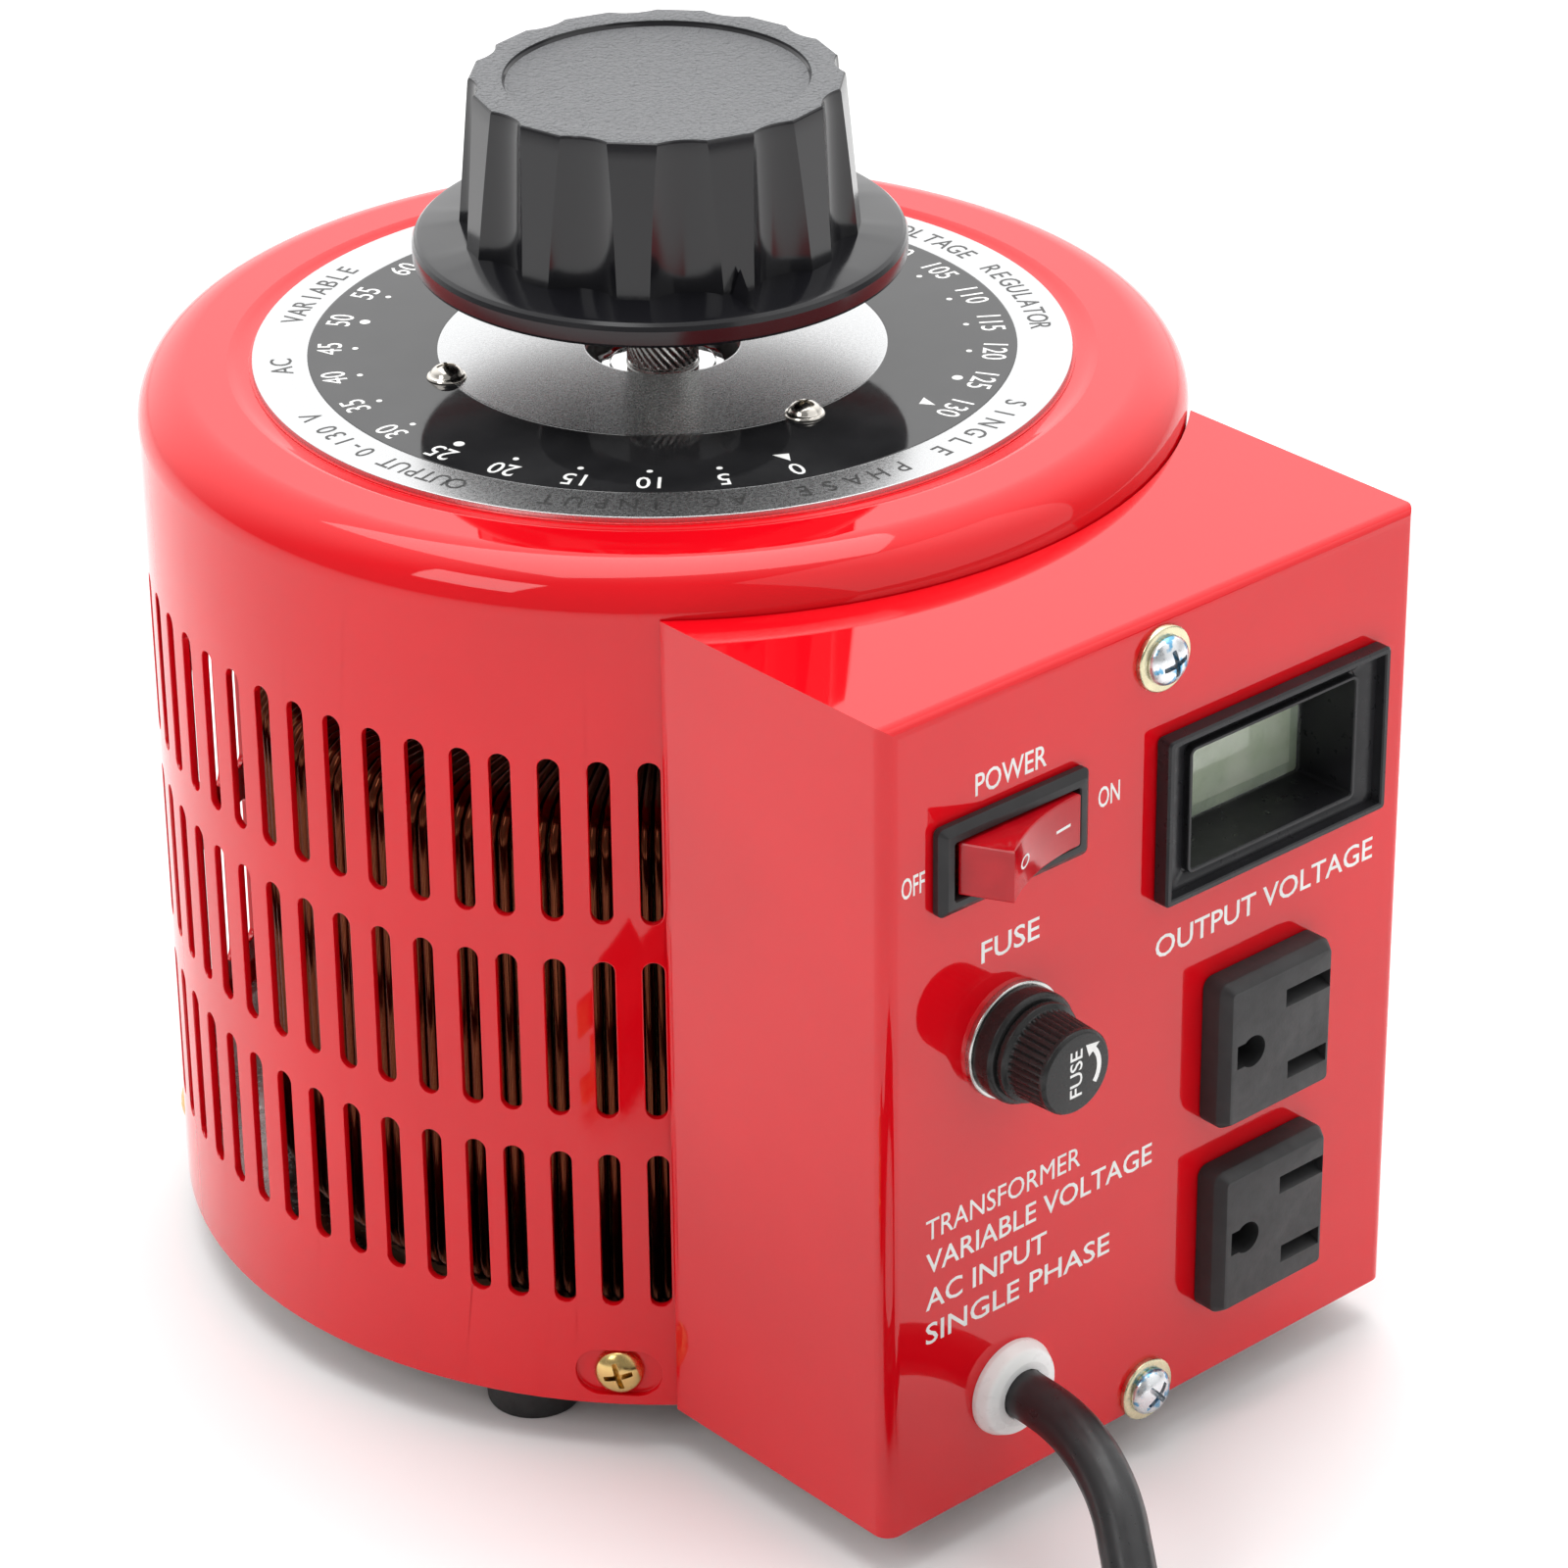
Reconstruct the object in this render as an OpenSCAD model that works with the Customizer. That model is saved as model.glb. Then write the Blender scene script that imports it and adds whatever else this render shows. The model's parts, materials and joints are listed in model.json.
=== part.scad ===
// Variable autotransformer in a round vented can with a control box on its front.
// Millimetres, +Z up, the box faces -Y, and the origin is under the middle of the object, on the floor.
// Every solid that stands for a separate physical piece has a node of its own.

/* [Body] */
// Outer radius of the round vented shell
body_r = 81; // [78:0.5:90]
// Height of the shell's flat rim above the floor
body_top = 149; // [147:0.5:155]
// Thickness of the shell's sheet steel
body_wall = 1.2; // [0.8:0.1:1.5]
// Radius of the rolled edge round the shell's top
body_round = 8; // [5:0.5:9]
// Height of the shell's lower edge above the floor
body_gap = 8; // [7.5:0.1:8.3]

/* [Vent slots] */
// Rows of upright slots round the shell
slot_rows = 3; // [1:1:3]
// Length of one slot with its round ends
slot_len = 26.7; // [15:0.1:28]
// Width of one slot
slot_w = 3.3; // [2:0.1:4]
// Distance from one row to the next
slot_row_pitch = 33.1; // [30:0.1:34]
// Height of the lowest row's lower end
slot_first_z = 26; // [24:0.5:30]
// Angle from one slot to the next
slot_pitch = 5.2; // [5:0.1:7]
// Narrower step where the two punched groups of slots meet
slot_group_step = 4.35; // [4.2:0.05:5.2]
// Slots in the group beside the control box
slot_group_a = 4; // [1:1:6]
// Slots in the group that runs round the back
slot_group_b = 50; // [10:1:50]
// Angle of the first slot, beside the control box
slot_start = -132.5; // [-133:0.1:-132]

/* [Dial] */
// Radius of the printed dial plate
dial_r = 63; // [55:0.5:64]
// Thickness of the dial plate
dial_t = 0.8; // [0.5:0.1:1]
// Radius of the hole round the shaft
dial_hole_r = 12; // [11:0.1:14]
// How far the dial's face stands above the shell's rim
dial_rise = 0.4; // [0:0.1:0.6]
// Radius of the circle through the dial screws
dial_screw_ring = 34.8; // [30:0.1:38]

/* [Knob] */
// Radius of the flat skirt under the grip
skirt_r = 37.8; // [34:0.1:40]
// Height of the skirt's underside
skirt_z = 164.7; // [160:0.1:168]
// Thickness of the skirt
skirt_t = 4; // [3:0.1:5]
// Radius of the grip where it meets the skirt
grip_r0 = 30.6; // [28:0.1:33]
// Radius of the grip at its top
grip_r1 = 28.4; // [25:0.1:30]
// Height of the grip's top
grip_top = 193.2; // [188:0.1:198]
// Radius of the shallow recess in the grip's top
recess_r = 23.3; // [18:0.1:24]
// Number of flutes round the grip
flutes = 12; // [8:1:14]
// Angle of the pointer at 0 V, which is also the stop
zero_angle = -108; // [-110:0.5:-106]

/* [Control box] */
// Half of the control box's width
box_half = 53.4; // [50:0.1:56]
// Distance from the shaft's axis to the panel's front face
panel_out = 108.5; // [105:0.1:112]
// Height of the box's lower edge
box_z0 = 7.5; // [7:0.1:8]
// Height of the box's top
box_z1 = 141.8; // [140:0.1:142]
// Outer radius of the box's upright bends
box_bend = 2.6; // [2:0.1:4]

/* [Panel parts] */
// How far the fuse cap stands out of the panel
fuse_out = 13.5; // [12:0.1:14]
// Middle of the meter, across and up
meter_at = [22.6, 108.9];
// Width and height of the meter's rim
meter_size = [46.4, 27.2];
// Width and height of the meter's opening
meter_open = [34, 19.4];
// How far the meter's rim stands out
meter_out = 2.8; // [2:0.1:4]
// Middle of the rocker switch, across and up
switch_at = [-30.1, 116.9];
// Width and height of the switch's rim
switch_size = [29.2, 14];
// Tilt of the rocker from level when it is on
rocker_tilt = 18; // [12:1:20]
// Middle of the fuse holder, across and up
fuse_at = [-28.9, 84];
// Middle of the upper outlet, across and up
outlet_at = [22, 66];
// Drop from the upper outlet to the lower one
outlet_drop = 32.8; // [30:0.1:34]
// Width and height of an outlet's face
outlet_size = [23.4, 25];
// How far an outlet stands out
outlet_out = 5.3; // [4:0.1:6]
// Middle of the cord grommet, across and up
grommet_at = [-28.5, 24];
// Height of the upper panel screw
screw_z1 = 135.2; // [134:0.1:136]
// Height of the lower panel screw
screw_z0 = 10.6; // [10.4:0.1:11]

/* [Core and winding] */
// Outer radius of the winding
coil_r1 = 67; // [60:0.5:68]
// Inner radius of the winding
coil_r0 = 27; // [26.5:0.5:29]
// Height of the winding's underside
coil_z0 = 14; // [14:0.5:18]
// Height of the winding's top
coil_z1 = 102; // [100:0.5:102]
// Thickness of the winding with its insulation
coil_t = 4; // [3:0.1:5]
// Radius of the shaft
shaft_r = 5.6; // [5:0.1:6]

/* [Cord] */
// Diameter of the mains cord
cord_d = 8; // [7:0.1:9]

/* [Hidden] */
$fn = 96;

// The shaft's axis stands where the whole object is centred on the origin in Y
front_out = panel_out + fuse_out;
axis_y = (front_out - body_r) / 2;
panel_y = axis_y - panel_out;
sheet = 1.2;
panel_in = panel_y + sheet;
shell_in = body_r - body_wall;

// Dial, and the shallow dip in the shell's rim round it
dial_gap = 0.4;
rim_dip = 0.7;
rim_dip_r = 9;
dial_z = body_top + dial_rise;
floor_z = dial_z - dial_t;
dial_screw_angles = [-93, 33, 159];

// Base
plate_z = 8.5;
plate_t = 2;
plate_top = plate_z + plate_t;
rim_r = 78;
rim_top = 20;
foot_ring = 69;
foot_angles = [-150, -30, 90];
shell_screw_angles = [-137.3, -42.7, 42.7, 137.3];
shell_screw_z = 13.7;
dimple_floor = body_r - 1.1;

// Slots
slot_angles = concat(
  [for (i = [0 : slot_group_a - 1]) slot_start - i * slot_pitch],
  [for (i = [0 : slot_group_b - 1])
    slot_start - (slot_group_a - 1) * slot_pitch - slot_group_step - i * slot_pitch]
);

// Shaft and rotor
bore = shaft_r + 0.05;
hub_r = 14;
hub_z = 112.2;
arm_z = 112.2;
arm_t = 3.2;
arm_top = arm_z + arm_t;
brush_r = 52;
holder_size = [12, 16];
brush_size = [7.6, 11.6];
holder_wall = 1.8;
holder_top = 124;
stud_ring = 19.5;
stud_angles = [30, 150, 270];
stop_ring = 26;

// Cord route: out of the grommet, down to the floor, then into the coil
cord_r = cord_d / 2;
lead_route = [
  [-28.5, -68, 24], [-28.5, -80, 24], [-28.5, -88, 24], [-28.5, -94, 24], [-28.79, -99.8, 23.57],
  [-29.64, -105.42, 22.31], [-31.03, -110.69, 20.25], [-32.92, -115.43, 17.45], [-35.25, -119.51, 14],
  [-37.58, -123.59, 10.55], [-39.47, -128.33, 7.75], [-40.86, -133.6, 5.69], [-41.71, -139.22, 4.43],
  [-42, -145.02, 4], [-42, -151, 4], [-42, -157.5, 4], [-42, -164, 4]
];
tail_route = [
  [-146, -164, 12], [-146, -158, 12], [-146, -151, 12], [-146, -144, 12], [-146, -140, 12]
];
wind_at = [-94, -164];
wind_outer = 52;
wind_inner = 44;
wind_h = 2 * cord_d;
plug_at = [-146, -140, 12];

// Points of a ring round p, square to direction t
function unit(v) = v / norm(v);
function side_of(t) = unit(cross(t, abs(t[2]) > 0.9 ? [1, 0, 0] : [0, 0, 1]));
function ring_points(p, t, r, n) =
  let (a = side_of(t), b = cross(a, t))
  [for (i = [0 : n - 1]) p + r * (cos(i * 360 / n) * a + sin(i * 360 / n) * b)];
function heading(path, i) =
  unit(path[min(i + 1, len(path) - 1)] - path[max(i - 1, 0)]);

module sweep(path, r, n) {
  m = len(path);
  pts = [for (i = [0 : m - 1]) each ring_points(path[i], heading(path, i), r, n)];
  walls = [for (i = [0 : m - 2], j = [0 : n - 1])
    [i * n + j, i * n + (j + 1) % n, (i + 1) * n + (j + 1) % n, (i + 1) * n + j]];
  caps = [[for (j = [n - 1 : -1 : 0]) j], [for (j = [0 : n - 1]) (m - 1) * n + j]];
  polyhedron(points = pts, faces = concat(caps, walls), convexity = 6);
}

module on_axis() translate([0, axis_y, 0]) children();
module on_panel(at, out = 0)
  translate([at[0], panel_y - out, at[1]]) rotate([90, 0, 0]) children();
module round_plan(w, h, r) {
  square([w - 2 * r, h], center = true);
  square([w, h - 2 * r], center = true);
  for (x = [-1, 1], y = [-1, 1])
    translate([x * (w / 2 - r), y * (h / 2 - r)]) circle(r, $fn = 32);
}
module round_block(w, h, t, r) linear_extrude(t) round_plan(w, h, r);
module tube(r1, r0, h)
  difference() {
    cylinder(h = h, r = r1);
    translate([0, 0, -1]) cylinder(h = h + 2, r = r0);
  }
module obround(w, l) {
  square([w, l - w], center = true);
  for (s = [-1, 1]) translate([0, s * (l - w) / 2]) circle(w / 2, $fn = 32);
}
// Pan-head screw: the head's seat is at 0, the head points to +Z
module pan_screw(head_r, head_h, shank_r, shank_l) {
  difference() {
    intersection() {
      cylinder(h = head_h, r = head_r, $fn = 48);
      translate([0, 0, head_h - head_r * 1.8]) sphere(head_r * 1.8, $fn = 64);
    }
    for (a = [0, 90]) rotate(a + 20)
      translate([-head_r * 0.55, -head_r * 0.1, head_h * 0.45])
        cube([head_r * 1.1, head_r * 0.2, head_h]);
  }
  translate([0, 0, -shank_l]) cylinder(h = shank_l + 0.01, r = shank_r, $fn = 32);
}
module hex_nut(across, h, hole_r)
  difference() {
    cylinder(h = h, r = across / sqrt(3), $fn = 6);
    translate([0, 0, -1]) cylinder(h = h + 2, r = hole_r, $fn = 32);
  }
// Puts children out along a radius of the shaft's axis, their +Z pointing outwards
module on_radius(angle, r, z)
  on_axis() rotate(angle) translate([r, 0, z]) rotate([0, 90, 0]) children();

// ---- Base ----

module base_plate() color("dimgray") difference() {
  union() {
    on_axis() translate([0, 0, plate_z]) cylinder(h = plate_t, r = rim_r);
    on_axis() translate([0, 0, plate_z]) tube(rim_r, rim_r - 1.8, rim_top - plate_z);
    translate([-50, panel_in + 0.6, plate_z]) cube([100, 60, plate_t]);
    translate([-9, panel_in + 0.6, plate_z]) cube([18, plate_t, 9.5]);
  }
  for (a = foot_angles) on_axis() rotate(a) translate([foot_ring, 0, 0]) cylinder(h = 30, r = 2.1);
  for (a = stud_angles) on_axis() rotate(a) translate([stud_ring, 0, 0]) cylinder(h = 30, r = 2.6);
  for (a = shell_screw_angles) on_radius(a, 70, shell_screw_z) cylinder(h = 20, r = 2.05);
  on_axis() cylinder(h = 30, r = 9.1);
  translate([-40, -72, 10.6]) cube([80, 45, 30]);
  on_panel([0, screw_z0], -12) cylinder(h = 20, r = 2.05);
}

module rubber_feet() color("black")
  for (a = foot_angles) on_axis() rotate(a) translate([foot_ring, 0, 0]) difference() {
    cylinder(h = plate_z, r1 = 7.3, r2 = 8, $fn = 48);
    translate([0, 0, -1]) cylinder(h = 5, r = 4.4, $fn = 48);
    cylinder(h = 20, r = 2.1, $fn = 32);
  }

module foot_screws() color("silver")
  for (a = foot_angles) on_axis() rotate(a) translate([foot_ring, 0, 0]) {
    translate([0, 0, 4]) mirror([0, 0, 1]) pan_screw(3.8, 2.4, 2, 0.1);
    translate([0, 0, 4]) cylinder(h = 9.5, r = 2, $fn = 32);
    translate([0, 0, plate_top + 0.05]) hex_nut(7, 2.8, 2);
  }

// ---- Shell ----

// Half section of the shell's outer surface, shrunk by t
module can_section(t) {
  r = body_r - t;
  h = body_top - t;
  k = body_round - t;
  square([r - k, h]);
  square([r, h - k]);
  translate([r - k, h - k]) circle(k);
}

module shell_section() {
  difference() {
    can_section(0);
    can_section(body_wall);
    translate([-1, -1]) square([body_r + 2, body_gap + 1]);
    translate([-1, -1]) square([dial_r + dial_gap + 1, body_top + 2]);
    translate([dial_r + dial_gap, body_top - rim_dip + rim_dip_r]) circle(rim_dip_r, $fn = 240);
  }
  translate([dial_r - 1, floor_z - body_wall]) square([3, body_wall - 0.6]);
  translate([dial_hole_r + 0.5, floor_z - body_wall]) square([dial_r - dial_hole_r, body_wall]);
}

module dimple(depth, grow)
  translate([0, 0, depth]) linear_extrude(6) rotate(90) round_plan(13.3 + grow, 8 + grow, 3.9);

module shell() color([0.8, 0.08, 0.08]) difference() {
  union() {
    on_axis() rotate_extrude() shell_section();
    for (a = shell_screw_angles) intersection() {
      on_radius(a, 0, shell_screw_z) dimple(dimple_floor - 1, 1.6);
      on_axis() translate([0, 0, body_gap]) cylinder(h = 20, r = shell_in + 0.2);
    }
  }
  for (a = slot_angles, k = [0 : slot_rows - 1])
    on_radius(a, body_r - 4, slot_first_z + slot_len / 2 + k * slot_row_pitch)
      linear_extrude(8) rotate(90) obround(slot_w, slot_len);
  for (a = shell_screw_angles) {
    on_radius(a, 0, shell_screw_z) dimple(dimple_floor, 0);
    on_radius(a, 60, shell_screw_z) cylinder(h = 30, r = 2.2);
  }
  for (a = dial_screw_angles)
    on_axis() rotate(a) translate([dial_screw_ring, 0, floor_z - 5]) cylinder(h = 10, r = 1.7);
  translate([-30, panel_in, 40]) cube([60, 50, 82]);
  translate([-50.4, panel_in, 0]) cube([100.8, 60, plate_top + 0.3]);
}

module shell_screws() color("gold")
  for (a = shell_screw_angles)
    on_radius(a, dimple_floor + 0.02, shell_screw_z) pan_screw(3.8, 2.4, 1.95, 6);

// ---- Dial and bearing ----

module dial_plate() color("black") on_axis() translate([0, 0, floor_z]) difference() {
  cylinder(h = dial_t, r = dial_r);
  translate([0, 0, -1]) cylinder(h = 5, r = dial_hole_r);
  for (a = dial_screw_angles) rotate(a) translate([dial_screw_ring, 0, -1]) cylinder(h = 5, r = 1.7);
}

module dial_screws() color("silver")
  for (a = dial_screw_angles)
    on_axis() rotate(a) translate([dial_screw_ring, 0, dial_z + 0.02]) pan_screw(3.1, 2.2, 1.45, 5.5);

plate2_top = floor_z - body_wall;
nut_seat = plate2_top - 4.3;
nut_h = 3.1;
module bearing_plate() color("silver") on_axis() difference() {
  union() {
    translate([0, 0, plate2_top - 3]) cylinder(h = 3, r = 42);
    translate([0, 0, plate2_top - 14]) cylinder(h = 12, r = 15);
  }
  translate([0, 0, plate2_top - 20]) cylinder(h = 30, r = 8);
  translate([0, 0, nut_seat]) cylinder(h = 10, r = 12);
  for (a = dial_screw_angles)
    rotate(a) translate([dial_screw_ring, 0, plate2_top - 5]) cylinder(h = 10, r = 1.5);
  rotate(-90) translate([stop_ring, 0, plate2_top - 5]) cylinder(h = 10, r = 2);
  rotate(60) translate([17.5, -4, plate2_top - 5]) cube([6, 8, 10]);
}

module top_bushing() color("goldenrod") on_axis() difference() {
  union() {
    translate([0, 0, plate2_top - 16]) cylinder(h = nut_seat + nut_h + 0.2 - plate2_top + 16, r = 8);
    translate([0, 0, plate2_top - 16]) cylinder(h = 1.9, r = 10);
  }
  translate([0, 0, 100]) cylinder(h = 60, r = bore);
}

module bushing_nut() color("silver") on_axis()
  translate([0, 0, nut_seat + 0.05]) hex_nut(18.6, nut_h, 8.02);

module stop_post() color("gray") on_axis() rotate(-90) translate([stop_ring, 0, 0]) {
  translate([0, 0, 118]) cylinder(h = plate2_top - 3 - 118, r = 3);
  translate([0, 0, plate2_top - 3.01]) cylinder(h = 2.9, r = 1.95);
}

module slip_contact() color("gold") on_axis() rotate(60) {
  translate([19, -3, 122]) cube([0.8, 6, plate2_top - 0.4 - 122]);
  translate([17.7, -3, 122]) cube([1.31, 6, 3]);
}

// ---- Shaft, knob and brush gear ----

module shaft() color("silver") on_axis() difference() {
  translate([0, 0, 14]) cylinder(h = 172, r = shaft_r);
  rotate(zero_angle + 180) translate([4.6, -8, 171]) cube([4, 16, 20]);
}

skirt_cone = 1;
module knob() color([0.12, 0.12, 0.13]) on_axis() difference() {
  union() {
    translate([0, 0, skirt_z]) cylinder(h = skirt_t - 0.8, r = skirt_r);
    translate([0, 0, skirt_z + skirt_t - 0.8]) cylinder(h = 0.8, r1 = skirt_r, r2 = skirt_r - 1.2);
    translate([0, 0, skirt_z + skirt_t - 0.01]) cylinder(h = skirt_cone, r1 = skirt_r - 1.2, r2 = grip_r0 - 2);
    translate([0, 0, skirt_z]) cylinder(h = grip_top - skirt_z - 1, r1 = grip_r0 + 0.3, r2 = grip_r1);
    translate([0, 0, grip_top - 1]) cylinder(h = 1, r1 = grip_r1, r2 = grip_r1 - 0.8);
    rotate(zero_angle) translate([grip_r0 - 2, -1, skirt_z + skirt_t - 0.5])
      rotate([90, 0, 90]) linear_extrude(7.6)
        polygon([[-1.6, 0], [3.6, 0], [1, 5.5]]);
  }
  for (i = [0 : flutes - 1]) rotate(zero_angle + (i + 0.5) * 360 / flutes) flute_cut();
  translate([0, 0, grip_top - 0.9]) cylinder(h = 2, r = recess_r);
  difference() {
    translate([0, 0, skirt_z - 1]) cylinder(h = 19, r = 19.4);
    translate([0, 0, skirt_z - 2]) cylinder(h = 22, r = 12);
  }
  translate([0, 0, skirt_z - 1]) cylinder(h = 22.4, r = bore);
  rotate(zero_angle + 180) translate([0, 0, 174]) rotate([0, 90, 0]) cylinder(h = 40, r = 2.55);
}

// A flute is a straight round groove that gets deeper and wider towards the skirt
module flute_cut()
  translate([grip_r1 + 2.6, 0, grip_top + 0.5]) rotate([0, 180 - 4, 0])
    cylinder(h = grip_top - skirt_z - skirt_t - 0.5, r1 = 4.2, r2 = 6.4, $fn = 64);

module knob_set_screw() color("dimgray") on_axis() rotate(zero_angle + 180)
  translate([4.7, 0, 174]) rotate([0, 90, 0]) difference() {
    cylinder(h = 8, r = 2.5, $fn = 32);
    translate([0, 0, 5]) cylinder(h = 4, r = 1.4, $fn = 6);
  }

module rotor_hub() color("silver") on_axis() difference() {
  union() {
    translate([0, 0, arm_top + 0.05]) cylinder(h = 13, r = hub_r);
    translate([0, 0, hub_z - 0.1]) cylinder(h = 4, r = 9);
    rotate(zero_angle) translate([0, -4.6, arm_top + 1.5]) cube([30, 9.2, 4.3]);
  }
  translate([0, 0, 100]) cylinder(h = 40, r = shaft_r);
  rotate(zero_angle + 90) translate([0, 0, arm_top + 4]) rotate([0, 90, 0]) cylinder(h = 40, r = 2);
}

module brush_arm() color("silver") on_axis() difference() {
  union() {
    translate([0, 0, arm_z]) cylinder(h = arm_t, r = 34);
    rotate(zero_angle) translate([0, -13, arm_z]) cube([64, 26, arm_t]);
    for (s = [-1, 1]) rotate(zero_angle)
      translate([32, s * 12 - 1, arm_z + arm_t - 0.01]) cube([31, 2, 4.5]);
  }
  translate([0, 0, arm_z - 1]) cylinder(h = 10, r = 9.05);
  rotate(zero_angle) translate([brush_r - holder_size[1] / 2 - 0.05, -holder_size[0] / 2 - 0.05, arm_z - 1])
    cube([holder_size[1] + 0.1, holder_size[0] + 0.1, 10]);
}

module brush_holder() color("gold") on_axis() rotate(zero_angle) translate([brush_r, 0, 0]) difference() {
  union() {
    translate([-holder_size[1] / 2, -holder_size[0] / 2, 105]) cube([holder_size[1], holder_size[0], holder_top - 105]);
    translate([-holder_size[1] / 2 - 2, -holder_size[0] / 2 - 2, arm_top + 0.05])
      cube([holder_size[1] + 4, holder_size[0] + 4, 1.5]);
  }
  translate([-holder_size[1] / 2 + holder_wall, -holder_size[0] / 2 + holder_wall, 100])
    cube([holder_size[1] - 2 * holder_wall, holder_size[0] - 2 * holder_wall, holder_top - 100 - 1.5]);
}

module carbon_brush() color([0.2, 0.2, 0.2]) on_axis() rotate(zero_angle)
  translate([brush_r - brush_size[1] / 2, -brush_size[0] / 2, coil_z1 + 0.1]) cube([brush_size[1], brush_size[0], 12]);

spring_z0 = coil_z1 + 12.2;
spring_z1 = holder_top - 1.6;
module brush_spring() color("gray") {
  turns = 4;
  steps = 12;
  n = turns * steps;
  on_axis() rotate(zero_angle) translate([brush_r, 0, 0])
    sweep([for (i = [0 : n]) [
      2.8 * cos(i * 360 / steps),
      2.8 * sin(i * 360 / steps),
      spring_z0 + 0.5 + (spring_z1 - spring_z0 - 1) * i / n
    ]], 0.4, 8);
}

module slip_ring() color("gold") on_axis() translate([0, 0, 122]) tube(17, hub_r + 0.05, 3);

// ---- Core and winding ----

module ring_section(r0, r1, z0, z1, k) translate([(r0 + r1) / 2, (z0 + z1) / 2]) round_plan(r1 - r0, z1 - z0, k);

module core() color("gray") on_axis() rotate_extrude()
  ring_section(coil_r0 + coil_t + 1.2, coil_r1 - coil_t - 1.2, coil_z0 + coil_t + 1.2, coil_z1 - coil_t - 1.2, 1);

module core_wrap() color("wheat") on_axis() rotate_extrude() difference() {
  ring_section(coil_r0 + coil_t, coil_r1 - coil_t, coil_z0 + coil_t, coil_z1 - coil_t, 2);
  ring_section(coil_r0 + coil_t + 1.1, coil_r1 - coil_t - 1.1, coil_z0 + coil_t + 1.1, coil_z1 - coil_t - 1.1, 1);
}

// The winding stands as twelve sections with a hair's gap between them
winding_sections = 12;
section_gap = 0.2;
module winding() color([0.35, 0.15, 0.08]) on_axis() for (i = [0 : winding_sections - 1])
  rotate(i * 360 / winding_sections) rotate_extrude(angle = 360 / winding_sections - section_gap) difference() {
  ring_section(coil_r0, coil_r1, coil_z0, coil_z1, 6);
  ring_section(coil_r0 + coil_t - 0.1, coil_r1 - coil_t + 0.1, coil_z0 + coil_t - 0.1, coil_z1 - coil_t + 0.1, 2.1);
}

module lower_insulator() color("saddlebrown") on_axis()
  translate([0, 0, plate_top + 0.05]) tube(60, 24, coil_z0 - plate_top - 0.1);

module upper_insulator() color("saddlebrown") on_axis() translate([0, 0, coil_z1 + 0.05]) tube(40, 24, 1.6);

clamp_z = coil_z1 + 1.7;
module core_clamp() color("dimgray") on_axis() difference() {
  translate([0, 0, clamp_z]) cylinder(h = 3, r = 36);
  translate([0, 0, clamp_z - 1]) cylinder(h = 5, r = 12.5);
  for (a = stud_angles) rotate(a) translate([stud_ring, 0, clamp_z - 1]) cylinder(h = 5, r = 2.6);
}

module tie_studs() color("silver")
  for (a = stud_angles) on_axis() rotate(a) translate([stud_ring, 0, 0]) {
    translate([0, 0, plate_z - 3.05]) cylinder(h = 3, r = 4.6, $fn = 6);
    translate([0, 0, plate_z - 0.06]) cylinder(h = clamp_z + 7.8 - plate_z, r = 2.5, $fn = 32);
  }

module tie_nuts() color("silver")
  for (a = stud_angles) on_axis() rotate(a) translate([stud_ring, 0, clamp_z + 3.05])
    hex_nut(8, 4, 2.5);

module center_column() color("tan") on_axis()
  translate([0, 0, plate_top + 0.05]) tube(12.4, 9.05, 95);

module lower_bushing() color("goldenrod") on_axis() translate([0, 0, plate_z]) difference() {
  cylinder(h = 22, r = 9);
  translate([0, 0, -1]) cylinder(h = 30, r = bore);
}

// ---- Control box ----

// Solid of the box's outside, shrunk by t on the front, the sides and the top
module box_solid(t) {
  depth = panel_out;
  intersection() {
    translate([0, panel_y + t + (depth + box_bend) / 2, box_z0 - 1]) linear_extrude(box_z1 - box_z0 + 2)
      round_plan(2 * (box_half - t), depth + box_bend, box_bend - t);
    translate([-100, 0, 0]) rotate([90, 0, 90]) linear_extrude(200) union() {
      translate([panel_y + t, box_z0 - (t > 0 ? 1 : 0)])
        square([depth, box_z1 - t - 2 - box_z0 + (t > 0 ? 1 : 0)]);
      translate([panel_y + t + 2, box_z0]) square([depth - 2, box_z1 - t - box_z0]);
      translate([panel_y + t + 2, box_z1 - t - 2]) circle(2, $fn = 48);
    }
  }
}

module control_box() color([0.85, 0.1, 0.1]) difference() {
  box_solid(0);
  box_solid(sheet);
  on_axis() translate([0, 0, -1]) cylinder(h = 200, r = body_r + 0.3);
  translate([-100, axis_y - body_r * 0.5, -1]) cube([200, 200, 300]);
  on_panel(meter_at, -5) round_block(43, 24.2, 10, 0.8);
  on_panel(switch_at, -5) round_block(27, 12.2, 10, 0.8);
  on_panel(fuse_at, -5) cylinder(h = 10, r = 6.4);
  for (k = [0, 1]) on_panel(outlet_at - [0, k * outlet_drop], -5) round_block(21.6, 23.2, 10, 0.8);
  on_panel(grommet_at, -5) cylinder(h = 10, r = 6.2);
  for (z = [screw_z0, screw_z1]) on_panel([0, z], -5) cylinder(h = 10, r = 2.2);
}

module upper_bracket() color("gray") difference() {
  union() {
    translate([-9, panel_in + 0.1, 127]) cube([18, 2, 12]);
    translate([-9, panel_in + 0.1, 137]) cube([18, panel_out - body_r - sheet - 0.1, 2]);
    translate([-9, axis_y - body_r - 2.4, 127]) cube([18, 3, 12]);
  }
  on_axis() cylinder(h = 200, r = body_r + 0.02);
  on_panel([0, screw_z1], -12) cylinder(h = 20, r = 2.05);
}

module panel_screws() color("silver")
  for (z = [screw_z0, screw_z1]) on_panel([0, z], 0.92) pan_screw(3.8, 2.5, 2, 6);

module panel_washers() color("khaki")
  for (z = [screw_z0, screw_z1]) on_panel([0, z], 0.02) tube(5.1, 2.1, 0.9);

// ---- Meter ----

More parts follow.
